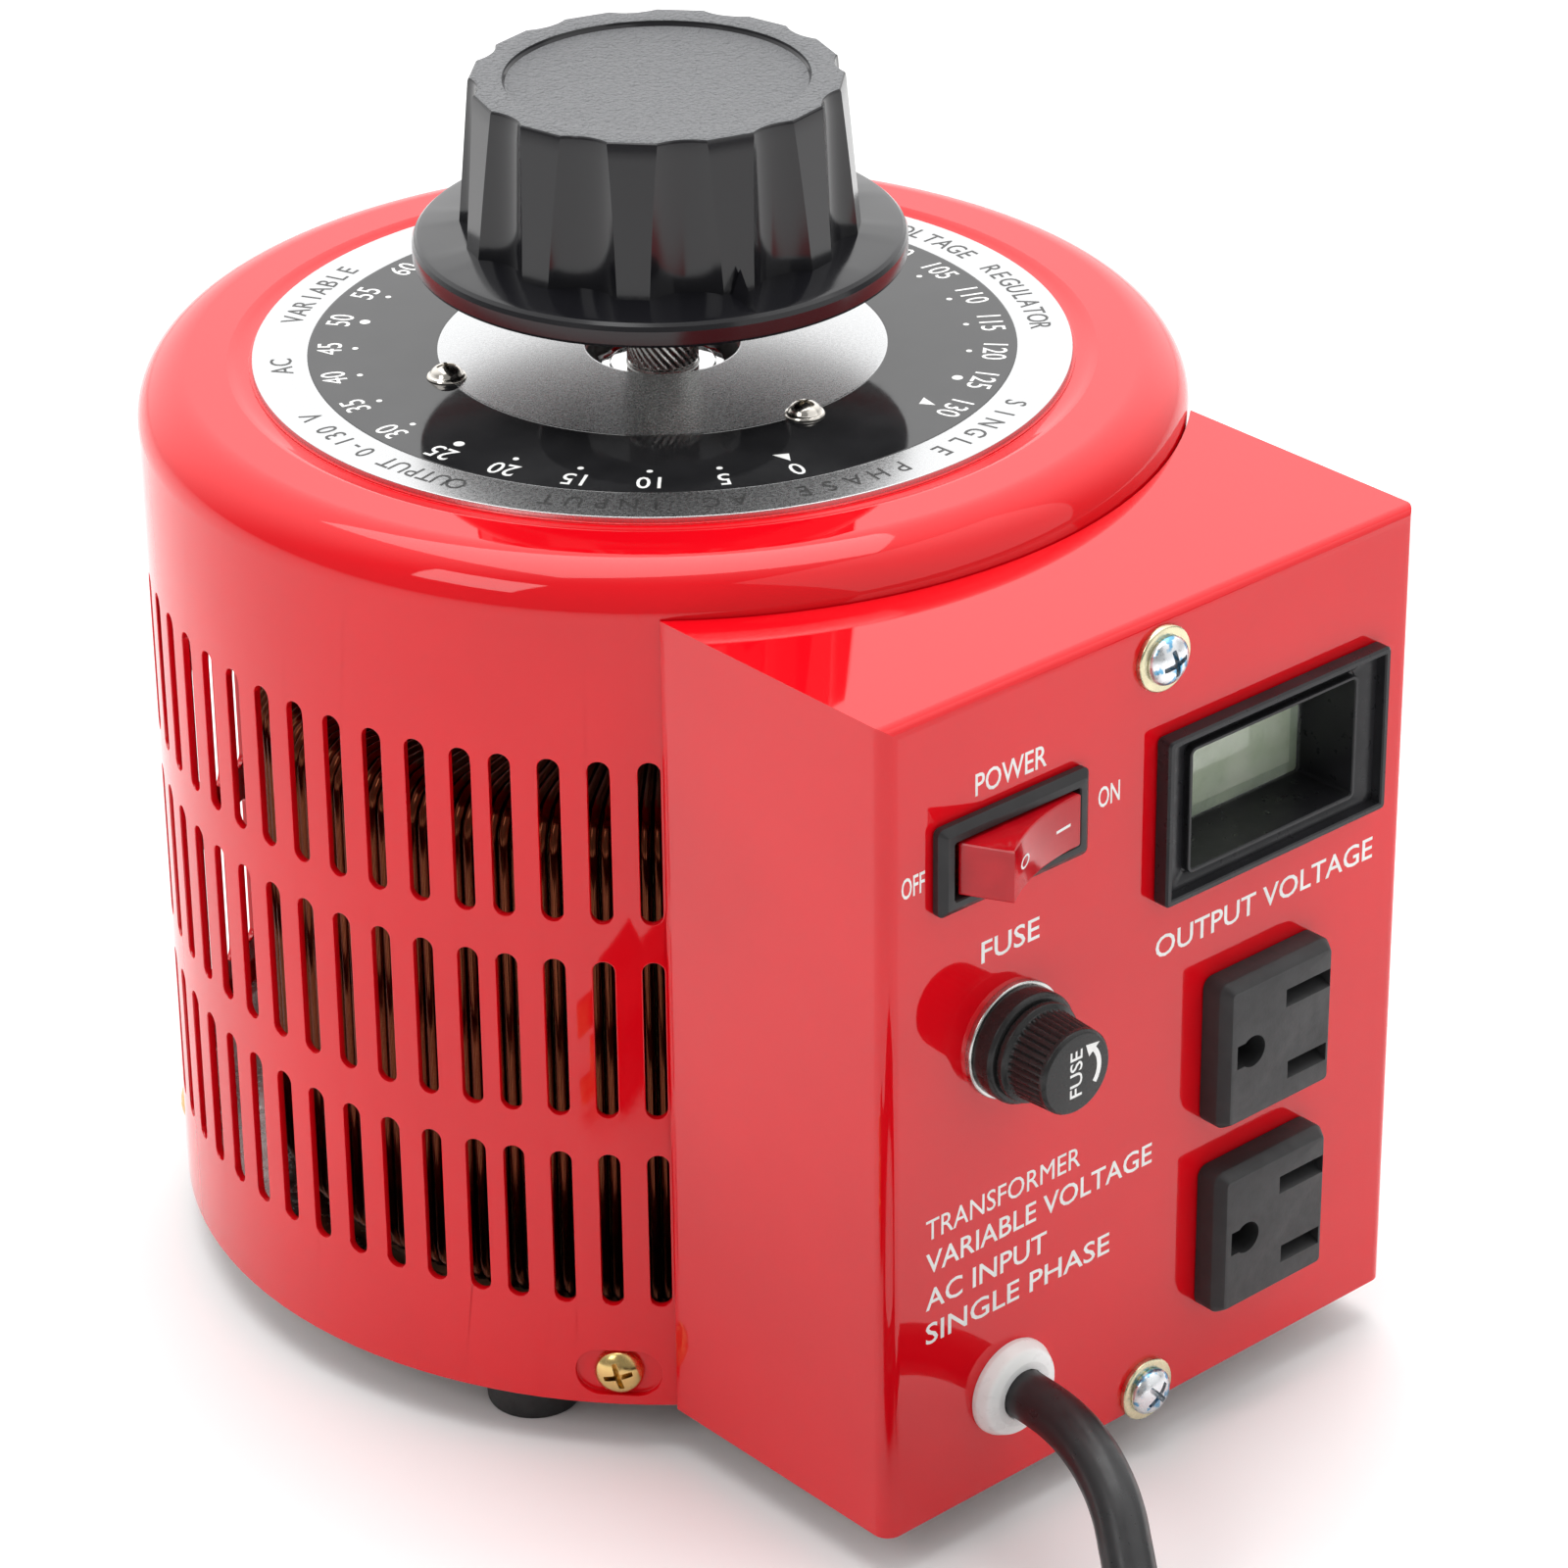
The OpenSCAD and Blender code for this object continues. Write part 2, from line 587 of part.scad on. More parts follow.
module meter_bezel() color("black") on_panel(meter_at, 0.02) difference() {
  union() {
    difference() {
      round_block(meter_size[0], meter_size[1], meter_out, 0.5);
      translate([0, 0, 0.9]) round_block(meter_size[0] - 2, meter_size[1] - 2, 5, 0.5);
    }
    round_block(meter_open[0] + 2, meter_open[1] + 2, 1.5, 0.5);
    translate([0, 0, -12]) round_block(42.6, 23.8, 12.1, 0.8);
  }
  translate([0, 0, -13]) round_block(meter_open[0], meter_open[1], 20, 0.5);
  translate([0, 0, -13]) round_block(40, 21.2, 3.9, 0.8);
}

module meter_window() color([0.8, 0.85, 0.85, 0.3]) on_panel(meter_at, -10.2)
  round_block(39.6, 20.8, 1, 0.6);

module meter_lcd() color([0.6, 0.66, 0.55]) on_panel(meter_at, -11.9)
  round_block(39.6, 20.8, 1.6, 0.6);

module meter_case() color([0.2, 0.2, 0.2]) on_panel(meter_at, -24) difference() {
  round_block(42.6, 23.8, 11.9, 0.8);
  translate([0, 0, 1.2]) round_block(40.2, 21.4, 20, 0.6);
}

// ---- Rocker switch ----

rocker_pivot = 3.3;
rocker_half_z = 4.2;
rocker_half_x = 9.8;
rocker_face = 7.2;
rocker_dish = 1.4;
dish_r = (rocker_half_x * rocker_half_x + rocker_dish * rocker_dish) / (2 * rocker_dish);
switch_front = 2.28;

module switch_housing() color([0.15, 0.15, 0.16]) on_panel(switch_at, 0.02) difference() {
  union() {
    round_block(switch_size[0], switch_size[1], 1.7, 1);
    translate([0, 0, 1.69]) round_block(switch_size[0] - 0.8, switch_size[1] - 0.8, 0.59, 0.8);
    translate([0, 0, -17]) round_block(26.6, 11.8, 17.1, 0.8);
  }
  translate([-12.1, -rocker_half_z - 0.35, -13]) cube([24.2, 2 * rocker_half_z + 0.7, 20]);
  translate([0, 0, switch_front - rocker_pivot]) rotate([90, 0, 0])
    translate([0, 0, -5.5]) cylinder(h = 11, r = 1.25, $fn = 32);
}

// Section of the rocker, level, about its pivot: dished front, slanted ends, narrow back
module rocker_section() difference() {
  polygon([
    [-rocker_half_x - 1.5, -0.8], [-rocker_half_x, rocker_face],
    [rocker_half_x, rocker_face], [rocker_half_x + 1.5, -0.8],
    [6, -5], [-6, -5]
  ]);
  translate([0, rocker_face - rocker_dish + dish_r]) circle(dish_r, $fn = 160);
}

module switch_rocker() color([0.85, 0.05, 0.1, 0.8])
  on_panel(switch_at, 0.02) translate([0, 0, switch_front - rocker_pivot]) rotate([0, rocker_tilt, 0]) {
    rotate([90, 0, 0]) translate([0, 0, -rocker_half_z])
      linear_extrude(2 * rocker_half_z) rocker_section();
    rotate([90, 0, 0]) translate([0, 0, -5.3]) cylinder(h = 10.6, r = 1.2, $fn = 32);
  }

module switch_terminals() color("gold")
  for (x = [-8, 0, 8]) on_panel(switch_at + [x, 0], -25.5) translate([-2.4, -0.4, 0]) cube([4.8, 0.8, 8.4]);

// ---- Fuse holder ----

module fuse_body() color([0.08, 0.08, 0.08]) on_panel(fuse_at, 1.05) difference() {
  union() {
    cylinder(h = 3.2, r = 8.7);
    translate([0, 0, 3.19]) cylinder(h = 0.4, r1 = 8.7, r2 = 8.2);
    translate([0, 0, -27]) cylinder(h = 27.1, r = 6.3);
    translate([0, 0, -29]) cylinder(h = 2.1, r = 3);
  }
  translate([0, 0, -26]) cylinder(h = 40, r = 5.2);
}

module fuse_washer() color("lightgray") on_panel(fuse_at, 0.02) tube(9.2, 6.4, 1);

module fuse_nut() color([0.15, 0.15, 0.15]) on_panel(fuse_at, -sheet - 3.1) hex_nut(17, 3, 6.33);

module fuse_cartridge() color([0.8, 0.85, 0.85]) on_panel(fuse_at, 1.05) translate([0, 0, -25.8]) {
  cylinder(h = 6, r = 3.2, $fn = 48);
  translate([0, 0, 6]) cylinder(h = 18, r = 2.9, $fn = 48);
  translate([0, 0, 24]) cylinder(h = 3, r = 3.2, $fn = 48);
}

cap_seat = 4.75;
cap_len = fuse_out - cap_seat;
module fuse_cap() color([0.06, 0.06, 0.06]) on_panel(fuse_at, cap_seat) difference() {
  union() {
    cylinder(h = 1.5, r1 = 7.8, r2 = 7.6);
    translate([0, 0, 1.49]) cylinder(h = cap_len - 2.4, r1 = 6.9, r2 = 6.6);
    translate([0, 0, cap_len - 0.92]) cylinder(h = 0.92, r1 = 6.6, r2 = 6.3);
    translate([0, 0, -8]) cylinder(h = 8.1, r = 4.9);
  }
  translate([0, 0, -9]) cylinder(h = 8.5, r = 3.25, $fn = 48);
  for (i = [0 : 17]) rotate(i * 20) translate([7.15, 0, 2.2])
    rotate([0, -3, 0]) cylinder(h = cap_len - 3.2, r = 0.5, $fn = 16);
}

// ---- Outlets ----

module outlet() color([0.12, 0.12, 0.13]) difference() {
  union() {
    round_block(outlet_size[0], outlet_size[1], outlet_out - 1.2, 1.6);
    translate([0, 0, outlet_out - 1.21]) round_block(outlet_size[0] - 0.8, outlet_size[1] - 0.8, 0.61, 1.4);
    translate([0, 0, outlet_out - 0.61]) round_block(outlet_size[0] - 1.9, outlet_size[1] - 1.9, 0.61, 1);
    translate([0, 0, -15]) round_block(21.2, 22.8, 15.1, 0.8);
  }
  translate([0.9, 6.35 - 1.5, -12]) cube([10, 3, 30]);
  translate([1.7, -6.35 - 1.5, -12]) cube([8.6, 3, 30]);
  intersection() {
    translate([-6, 0, -12]) cylinder(h = 30, r = 2.6, $fn = 48);
    translate([-8.2, -5, -12]) cube([10, 10, 30]);
  }
}

module outlet_upper() on_panel(outlet_at, 0.02) outlet();
module outlet_lower() on_panel(outlet_at - [0, outlet_drop], 0.02) outlet();

module outlet_contacts() color("gold")
  for (k = [0, 1]) on_panel(outlet_at - [0, k * outlet_drop], 0.02) {
    for (y = [-6.35, 6.35]) translate([3.2, y - 1.3, -20]) {
      translate([0, 0, 8.2]) cube([5.6, 0.5, 7]);
      translate([0, 2.1, 8.2]) cube([5.6, 0.5, 7]);
      translate([0, 0, 8.1]) cube([5.6, 2.6, 0.5]);
      translate([0.8, 0.9, 4.9]) cube([4, 0.8, 3.3]);
    }
    translate([-6, 0, -12]) tube(2.5, 2, 8);
  }

// ---- Grommet and wiring ----

module cord_grommet() color("white") on_panel(grommet_at, 0.02) difference() {
  union() {
    cylinder(h = 1.4, r = 7.8);
    translate([0, 0, 1.39]) cylinder(h = 1, r1 = 7.8, r2 = 7.1);
    translate([0, 0, 2.38]) cylinder(h = 0.7, r1 = 7.1, r2 = 5.7);
    translate([0, 0, -3]) cylinder(h = 3.1, r = 6);
    translate([0, 0, -20]) cylinder(h = 17.1, r1 = 5, r2 = 6);
  }
  translate([0, 0, -30]) cylinder(h = 40, r = cord_r + 0.02);
}

module terminal_block() color("ivory") translate([-6, panel_in + 8, 52]) difference() {
  cube([12, 10, 34]);
  for (z = [6, 17, 28]) translate([-1, 5, z]) rotate([0, 90, 0]) cylinder(h = 14, r = 1.6, $fn = 32);
  for (z = [6, 17, 28]) translate([6, -1, z]) rotate([-90, 0, 0]) cylinder(h = 4, r = 2, $fn = 32);
}

// Internal leads, from terminal to terminal
lead_paths = [
  [[-38.1, -61, 116.9], [-38.1, -57, 112], [-33, -56, 100], [-30, -56.5, 92]],
  [[-30.1, -61, 116.9], [-29, -62, 120], [-16, -64, 119], [-6, -67, 112], [-10, -72, 98], [-9, -74, 80]],
  [[7, -74, 80], [10, -66, 84], [14, -62, 92], [20, -64, 96]],
  [[7, -74, 69], [12, -60, 70], [22, -60, 75], [26, -64, 72.3]],
  [[7, -74, 58], [12, -58, 52], [22, -60, 45], [26, -64, 39.5]],
  [[-28.5, -67, 24], [-27, -64, 30], [-18, -66, 44], [-12, -70, 54], [-7, -74, 58]]
];
module wiring() color([0.1, 0.1, 0.1]) for (p = lead_paths) sweep(p, 1.2, 8);

// ---- Cord, coil and plug ----

module cord_tube() color([0.07, 0.07, 0.07]) {
  sweep(lead_route, cord_r, 12);
  sweep(tail_route, cord_r, 12);
}

module cord_coil() color([0.07, 0.07, 0.07])
  translate([wind_at[0], wind_at[1], 0]) rotate_extrude() ring_section(
    wind_inner - cord_r, wind_outer + cord_r, 0, wind_h, cord_r - 0.5);

module cord_tie() color([0.2, 0.2, 0.2]) translate([wind_at[0], wind_at[1], 0]) rotate(-110) difference() {
  translate([wind_inner - cord_r - 1, -4, 0]) cube([wind_outer - wind_inner + cord_d + 2, 8, wind_h + 1]);
  translate([wind_inner - cord_r, -5, 0.9]) cube([wind_outer - wind_inner + cord_d, 10, wind_h - 0.9]);
}

module plug_body() color([0.07, 0.07, 0.07]) translate(plug_at) rotate([-90, 0, 0]) {
  cylinder(h = 18, r1 = 5.4, r2 = 7.5, $fn = 48);
  translate([0, 0, 17.9]) cylinder(h = 6, r1 = 7.5, r2 = 11.6, $fn = 48);
  translate([0, 0, 23.8]) intersection() {
    cylinder(h = 22, r = 13.4, $fn = 96);
    translate([-12, -12, -1]) cube([24, 24, 30]);
  }
}

module plug_pins() color("gold") translate(plug_at) rotate([-90, 0, 0]) translate([0, 0, 45.85]) {
  for (x = [-6.35, 6.35]) translate([x - 0.75, -7.2, 0]) cube([1.5, 6.35, 16]);
  translate([0, 6, 0]) cylinder(h = 18, r = 2.4, $fn = 32);
}

base_plate();
rubber_feet();
foot_screws();
shell();
shell_screws();
dial_plate();
dial_screws();
bearing_plate();
top_bushing();
bushing_nut();
shaft();
knob();
knob_set_screw();
rotor_hub();
brush_arm();
brush_holder();
carbon_brush();
brush_spring();
slip_ring();
slip_contact();
stop_post();
core();
core_wrap();
winding();
lower_insulator();
upper_insulator();
core_clamp();
tie_studs();
tie_nuts();
center_column();
lower_bushing();
control_box();
upper_bracket();
panel_screws();
panel_washers();
meter_bezel();
meter_case();
meter_lcd();
meter_window();
switch_housing();
switch_rocker();
switch_terminals();
fuse_body();
fuse_washer();
fuse_nut();
fuse_cartridge();
fuse_cap();
outlet_upper();
outlet_lower();
outlet_contacts();
cord_grommet();
terminal_block();
wiring();
cord_tube();
cord_coil();
cord_tie();
plug_body();
plug_pins();
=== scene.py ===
"""Looks for a variable autotransformer: a vented shell with a dial and knob, and a control box."""
import json
import math

import bmesh
import bpy
from mathutils import Matrix, Vector


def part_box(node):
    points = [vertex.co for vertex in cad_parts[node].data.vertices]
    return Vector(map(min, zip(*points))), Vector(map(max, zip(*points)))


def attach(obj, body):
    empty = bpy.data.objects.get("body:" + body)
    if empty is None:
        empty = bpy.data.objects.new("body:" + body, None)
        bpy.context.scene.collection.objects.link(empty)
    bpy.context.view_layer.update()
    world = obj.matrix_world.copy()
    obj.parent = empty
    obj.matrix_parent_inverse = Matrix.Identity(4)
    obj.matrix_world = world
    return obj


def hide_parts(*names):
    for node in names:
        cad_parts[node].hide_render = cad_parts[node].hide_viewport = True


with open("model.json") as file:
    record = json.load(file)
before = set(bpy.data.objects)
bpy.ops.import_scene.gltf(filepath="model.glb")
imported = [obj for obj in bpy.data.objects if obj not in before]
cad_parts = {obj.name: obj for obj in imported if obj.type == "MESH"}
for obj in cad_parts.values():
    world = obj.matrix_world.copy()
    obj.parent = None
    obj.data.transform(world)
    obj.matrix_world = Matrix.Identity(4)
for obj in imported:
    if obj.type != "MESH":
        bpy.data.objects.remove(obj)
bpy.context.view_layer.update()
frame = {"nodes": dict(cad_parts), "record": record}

MM = 0.001
SAME_POINT = 1e-7
INK_THICK = 0.03
scene = bpy.context.scene


# ---- places read from the frame

def on_panel(x, y, z):
    """The point at x and height y on the control panel, and z out of its face, all in metres."""
    return Vector((x, panel_y - z, y))


def fit_of(node):
    """A panel part's middle (x and height, metres), and its width, height and reach out in mm."""
    low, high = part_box(node)
    return ((low.x + high.x) / 2, (low.z + high.z) / 2,
            (high.x - low.x) / MM, (high.z - low.z) / MM, (panel_y - low.y) / MM)


shaft_low, shaft_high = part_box("shaft")
shaft_at = (shaft_low + shaft_high) / 2
axis_y = shaft_at.y
ON_AXIS = Matrix.Translation((shaft_at.x, axis_y, 0))
FACE_OUT = Matrix.Rotation(math.pi / 2, 4, "X")    # turns +Z to point out of the panel
panel_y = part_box("control_box")[0].y
dial_low, dial_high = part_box("dial_plate")
dial_z = dial_high.z
dial_r = (dial_high.x - dial_low.x) / 2
ZERO_ANGLE = math.radians(-108)
TRAVEL = math.radians(324)
FULL_SCALE = 130


def add_object(name, data):
    """A new object that shows data."""
    new = bpy.data.objects.new(name, data)
    scene.collection.objects.link(new)
    return new


# ---- camera

def make_camera():
    """Long lens from the front left and above, with a slight roll."""
    azimuth, elevation, roll = (math.radians(a) for a in (-41.43, 27.99, -0.65))
    distance = 0.8599
    target = Vector((-0.0124, axis_y - 0.0411, 0.093))
    back = Vector((
        math.sin(azimuth) * math.cos(elevation),
        -math.cos(azimuth) * math.cos(elevation),
        math.sin(elevation),
    ))
    right = Vector((math.cos(azimuth), math.sin(azimuth), 0))
    up = back.cross(right)
    rolled_right = math.cos(roll) * right + math.sin(roll) * up
    rolled_up = back.cross(rolled_right)
    data = bpy.data.cameras.new("camera")
    data.lens, data.sensor_width = 129.6, 36
    data.clip_start, data.clip_end = 0.05, 20
    camera = add_object("camera", data)
    turn = Matrix((rolled_right, rolled_up, back)).transposed()
    camera.matrix_world = Matrix.Translation(target + distance * back) @ turn.to_4x4()
    scene.camera = camera


# ---- materials

def set_sockets(node, values):
    """Sets a node's inputs. The names have underscores for spaces."""
    for socket, value in values.items():
        node.inputs[socket.replace("_", " ")].default_value = value


def add_node(tree, kind, **values):
    node = tree.nodes.new("ShaderNode" + kind)
    set_sockets(node, values)
    return node


class Nodes:
    """A short way to write one node material: a Principled shader and the textures that feed it."""

    def __init__(self, name, colour, roughness, **sockets):
        self.material = bpy.data.materials.new(name)
        self.material.use_nodes = True
        self.tree = self.material.node_tree
        self.link = self.tree.links.new
        self.shader = self.tree.nodes["Principled BSDF"]
        self.colour = colour
        set_sockets(self.shader, {"Base_Color": (*colour, 1), "Roughness": roughness, **sockets})
        self.place = self.add("TexCoord").outputs["Object"]

    def add(self, kind, **values):
        return add_node(self.tree, kind, **values)

    def noise(self, scale, detail=3.0, stretch=(1, 1, 1)):
        """Noise with scale in features per metre, squeezed along the axes by stretch."""
        mapping = self.add("Mapping", Scale=stretch)
        self.link(self.place, mapping.inputs["Vector"])
        noise = self.add("TexNoise", Scale=scale, Detail=detail)
        self.link(mapping.outputs["Vector"], noise.inputs["Vector"])
        return noise.outputs["Fac"]

    def ranged(self, value, low, high, start=0.35, end=0.65):
        """value, from start to end, mapped to low to high."""
        node = self.add("MapRange", From_Min=start, From_Max=end, To_Min=low, To_Max=high)
        self.link(value, node.inputs["Value"])
        return node.outputs["Result"]

    def z_of(self, vector):
        node = self.add("SeparateXYZ")
        self.link(vector, node.inputs["Vector"])
        return node.outputs["Z"]

    def product(self, a, b):
        node = self.add("Math")
        node.operation = "MULTIPLY"
        self.link(a, node.inputs[0])
        self.link(b, node.inputs[1])
        return node.outputs["Value"]

    def mottle(self, value, other, low=0.0, high=1.0, start=0.35, end=0.65):
        """Mixes the colour towards another one where value is high."""
        mix = self.add("Mix")
        mix.data_type = "RGBA"
        old = self.shader.inputs["Base Color"]
        if old.is_linked:
            self.link(old.links[0].from_socket, mix.inputs["A"])
        else:
            mix.inputs["A"].default_value = (*self.colour, 1)
        mix.inputs["B"].default_value = (*other, 1)
        self.link(self.ranged(value, low, high, start, end), mix.inputs["Factor"])
        self.link(mix.outputs["Result"], old)
        return self

    def rough(self, value, low, high, start=0.35, end=0.65):
        """Roughness from low to high as value goes from start to end."""
        self.link(self.ranged(value, low, high, start, end), self.shader.inputs["Roughness"])
        return self

    def bump(self, value, height, strength=1.0):
        """Raises the surface by height metres where value is high, on top of what is there."""
        node = self.add("Bump", Strength=strength, Distance=height)
        self.link(value, node.inputs["Height"])
        old = self.shader.inputs["Normal"]
        if old.is_linked:
            self.link(old.links[0].from_socket, node.inputs["Normal"])
        self.link(node.outputs["Normal"], old)
        return self


def paint(name, colour):
    """Gloss baked enamel: orange peel under a clear coat, and a slow drift in tone."""
    m = Nodes(name, colour, 0.5, Specular_IOR_Level=0.0,
              Coat_Weight=1.0, Coat_Roughness=0.035, Coat_IOR=1.5)
    m.mottle(m.noise(18, 4), [c * 0.82 for c in colour], 0, 0.6)
    m.rough(m.noise(900, 4), 0.4, 0.6)
    return m.bump(m.noise(420, 2), 2e-5, 0.35).bump(m.noise(60, 2), 8e-5, 0.3).material


def plastic(name, colour, roughness, grain=2500, height=2e-5, **sockets):
    """Moulded plastic: fine grain, slight variation in gloss and tone."""
    m = Nodes(name, colour, roughness, **sockets)
    m.mottle(m.noise(140, 5), [min(1, c * 1.5 + 0.004) for c in colour], 0, 0.5)
    m.rough(m.noise(600, 4), roughness * 0.85, min(1, roughness * 1.2))
    return m.bump(m.noise(grain, 3), height, 0.6).material


def metal(name, colour, roughness, stretch=(1, 1, 1)):
    """Plated or bare metal, with handling marks, and streaks where stretch isn't even."""
    streaks = 700
    m = Nodes(name, colour, roughness, Metallic=1.0)
    m.mottle(m.noise(220, 5), [c * 0.72 for c in colour], 0, 0.6)
    m.rough(m.noise(streaks, 4, stretch), roughness * 0.75, roughness * 1.35)
    return m.bump(m.noise(streaks, 3, stretch), 8e-6, 0.5).material


def rubber(name, colour, roughness):
    """Dull black rubber with a lighter bloom in patches."""
    m = Nodes(name, colour, roughness)
    m.mottle(m.noise(90, 5), [c * 1.8 + 0.006 for c in colour], 0, 0.5)
    m.rough(m.noise(500, 4), roughness * 0.85, roughness * 1.2)
    return m.bump(m.noise(1500, 3), 1e-5, 0.5).material


def looks(kind, **values):
    return {name: kind(name, *value) for name, value in values.items()}


LOOKS = {
    **looks(paint, red_enamel=((0.74, 0.002, 0.008),)),
    **looks(
        metal,
        plated_steel=((0.66, 0.66, 0.64), 0.22),
        yellow_zinc=((0.74, 0.68, 0.46), 0.26),
        brass=((0.78, 0.56, 0.22), 0.22),
        silicon_steel=((0.32, 0.33, 0.35), 0.4, (1, 1, 30)),
        copper=((0.2, 0.055, 0.025), 0.17),
        cast_alloy=((0.6, 0.6, 0.6), 0.42),
    ),
    **looks(
        rubber,
        feet_rubber=((0.014, 0.014, 0.014), 0.6),
        cord_rubber=((0.012, 0.012, 0.013), 0.32),
    ),
    **looks(
        plastic,
        dial_print=((0.012, 0.012, 0.013), 0.06, 300, 4e-6),
        black_plastic=((0.018, 0.018, 0.019), 0.34, 3500, 1.2e-5),
        lcd=((0.8, 0.92, 0.58), 0.3, 6000, 4e-6),
        paper=((0.5, 0.38, 0.2), 0.7, 900, 4e-5),
        phenolic=((0.24, 0.1, 0.04), 0.4, 900, 2e-5),
        carbon=((0.03, 0.03, 0.032), 0.45, 2000, 2e-5),
        wire_insulation=((0.02, 0.02, 0.02), 0.4),
        ivory_plastic=((0.66, 0.62, 0.5), 0.4),
    ),
    "knob_plastic": plastic("knob_plastic", (0.014, 0.014, 0.016), 0.16, 700, 6e-6,
                            Specular_IOR_Level=0.35),
    "white_nylon": plastic("white_nylon", (0.9, 0.9, 0.88), 0.3, 900, 1e-5,
                           Subsurface_Weight=0.2, Subsurface_Scale=0.5,
                           Subsurface_Radius=(0.002, 0.002, 0.002)),
    "rocker_red": plastic("rocker_red", (0.6, 0.004, 0.012), 0.1, 300, 4e-6,
                          Transmission_Weight=0.3, Specular_IOR_Level=0.35),
    "clear": plastic("clear", (0.8, 0.84, 0.83), 0.05, 300, 2e-6, Transmission_Weight=0.95),
    "fuse_glass": plastic("fuse_glass", (0.85, 0.88, 0.87), 0.04, 300, 2e-6,
                          Transmission_Weight=0.9),
}
WHITE_INK = plastic("white_ink", (0.82, 0.82, 0.8), 0.35, 900, 2e-6)
METER_BLACK, SWITCH_BLACK, FUSE_BLACK, OUTLET_BLACK = (
    plastic(name, colour, roughness, grain, height, Specular_IOR_Level=0.3)
    for name, colour, roughness, grain, height in (
        ("meter_black", (0.016, 0.016, 0.018), 0.32, 3000, 8e-6),
        ("switch_black", (0.02, 0.02, 0.021), 0.36, 3000, 8e-6),
        ("fuse_black", (0.016, 0.016, 0.016), 0.26, 3000, 6e-6),
        ("outlet_black", (0.03, 0.03, 0.031), 0.42, 2600, 3e-5),
    ))
BRIGHT_NICKEL = metal("bright_nickel", (0.86, 0.86, 0.86), 0.07)
LCD_BORDER = plastic("lcd_border", (0.55, 0.65, 0.42), 0.25, 6000, 4e-6)


# ---- pieces

def finish_piece(piece, slot, body="frame", nodes=(), look=None):
    """Gives a piece its look, the slot's look unless another is given, its body, and hides the CAD
    nodes that it replaces.
    """
    piece.data.materials.clear()
    piece.data.materials.append(look or LOOKS[slot])
    if nodes:
        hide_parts(*nodes)
    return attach(piece, body)


def smoothed(mesh, sharp):
    """Smooth shading, with hard edges where faces meet at more than sharp degrees."""
    mesh.shade_smooth()
    mesh.set_sharp_from_angle(angle=math.radians(sharp))
    return mesh


def mesh_piece(name, verts, faces, sharp=35):
    """A piece from points in metres and faces, with its normals pointing outwards."""
    mesh = bpy.data.meshes.new(name)
    mesh.from_pydata([tuple(v) for v in verts], [], faces)
    mesh.validate()
    tidy = bmesh.new()
    tidy.from_mesh(mesh)
    bmesh.ops.remove_doubles(tidy, verts=tidy.verts, dist=SAME_POINT)
    bmesh.ops.recalc_face_normals(tidy, faces=tidy.faces)
    tidy.to_mesh(mesh)
    tidy.free()
    return add_object(name, smoothed(mesh, sharp))


# ---- shapes

def filleted(corners, steps=4):
    """A profile's corners, each (r, z, fillet radius), with every fillet drawn as an arc."""
    points = []
    for i, (r, z, fillet) in enumerate(corners):
        here = Vector((r, z))
        before = Vector(corners[i - 1][:2]) - here
        after = Vector(corners[(i + 1) % len(corners)][:2]) - here
        at_end = i in (0, len(corners) - 1)
        if at_end or fillet <= 0 or before.length < 1e-9 or after.length < 1e-9:
            points.append(here)
            continue
        half = before.angle(after) / 2
        reach = min(fillet / math.tan(half), before.length * 0.49, after.length * 0.49)
        arc_r = reach * math.tan(half)
        middle_way = (before.normalized() + after.normalized()).normalized()
        centre = here + middle_way * (arc_r / math.sin(half))
        first = here + before.normalized() * reach - centre
        last = here + after.normalized() * reach - centre
        for k in range(steps + 1):
            point = first.slerp(last, k / steps) if first.angle(last) > 1e-4 else first
            points.append(centre + point.normalized() * arc_r)
    return points


def lathe(name, corners, segments=96, closed=False, radius_of=None, sharp=35, fillet_steps=4):
    """Turns a profile of (r, z, fillet) in mm round Z. radius_of(angle, r, z) can reshape it."""
    profile = filleted(corners, fillet_steps)
    verts, faces = [], []
    for i in range(segments):
        angle = i * math.tau / segments
        for r, z in profile:
            reach = radius_of(angle, r, z) if radius_of else r
            verts.append(Vector((reach * math.cos(angle), reach * math.sin(angle), z)) * MM)
    count = len(profile)
    for i in range(segments):
        a, b = i * count, (i + 1) % segments * count
        for j in range(count if closed else count - 1):
            k = (j + 1) % count
            faces.append((a + j, b + j, b + k, a + k))
    return mesh_piece(name, verts, faces, sharp)


def rounded_outline(width, height, radius):
    """A rectangle with round corners, anticlockwise, as a list of (x, y) in mm."""
    points, steps = [], 5
    for cx, cy, start in ((1, 1, 0), (-1, 1, 90), (-1, -1, 180), (1, -1, 270)):
        for k in range(steps + 1):
            angle = math.radians(start + 90 * k / steps)
            points.append((cx * (width / 2 - radius) + radius * math.cos(angle),
                           cy * (height / 2 - radius) + radius * math.sin(angle)))
    return points


def loft(name, rings, closed=False, sharp=35):
    """Skins rings of points in mm, all of one count, with end caps unless it is closed."""
    count = len(rings[0])
    verts = [Vector(p) * MM for ring in rings for p in ring]
    faces = []
    last = len(rings) if closed else len(rings) - 1
    for i in range(last):
        a, b = i * count, (i + 1) % len(rings) * count
        for j in range(count):
            k = (j + 1) % count
            faces.append((a + j, a + k, b + k, b + j))
    if not closed:
        faces.append(tuple(range(count - 1, -1, -1)))
        faces.append(tuple(range((len(rings) - 1) * count, len(rings) * count)))
    return mesh_piece(name, verts, faces, sharp)


def ring_at(outline, z):
    """An outline of (x, y) as a ring at a height."""
    return [(x, y, z) for x, y in outline]


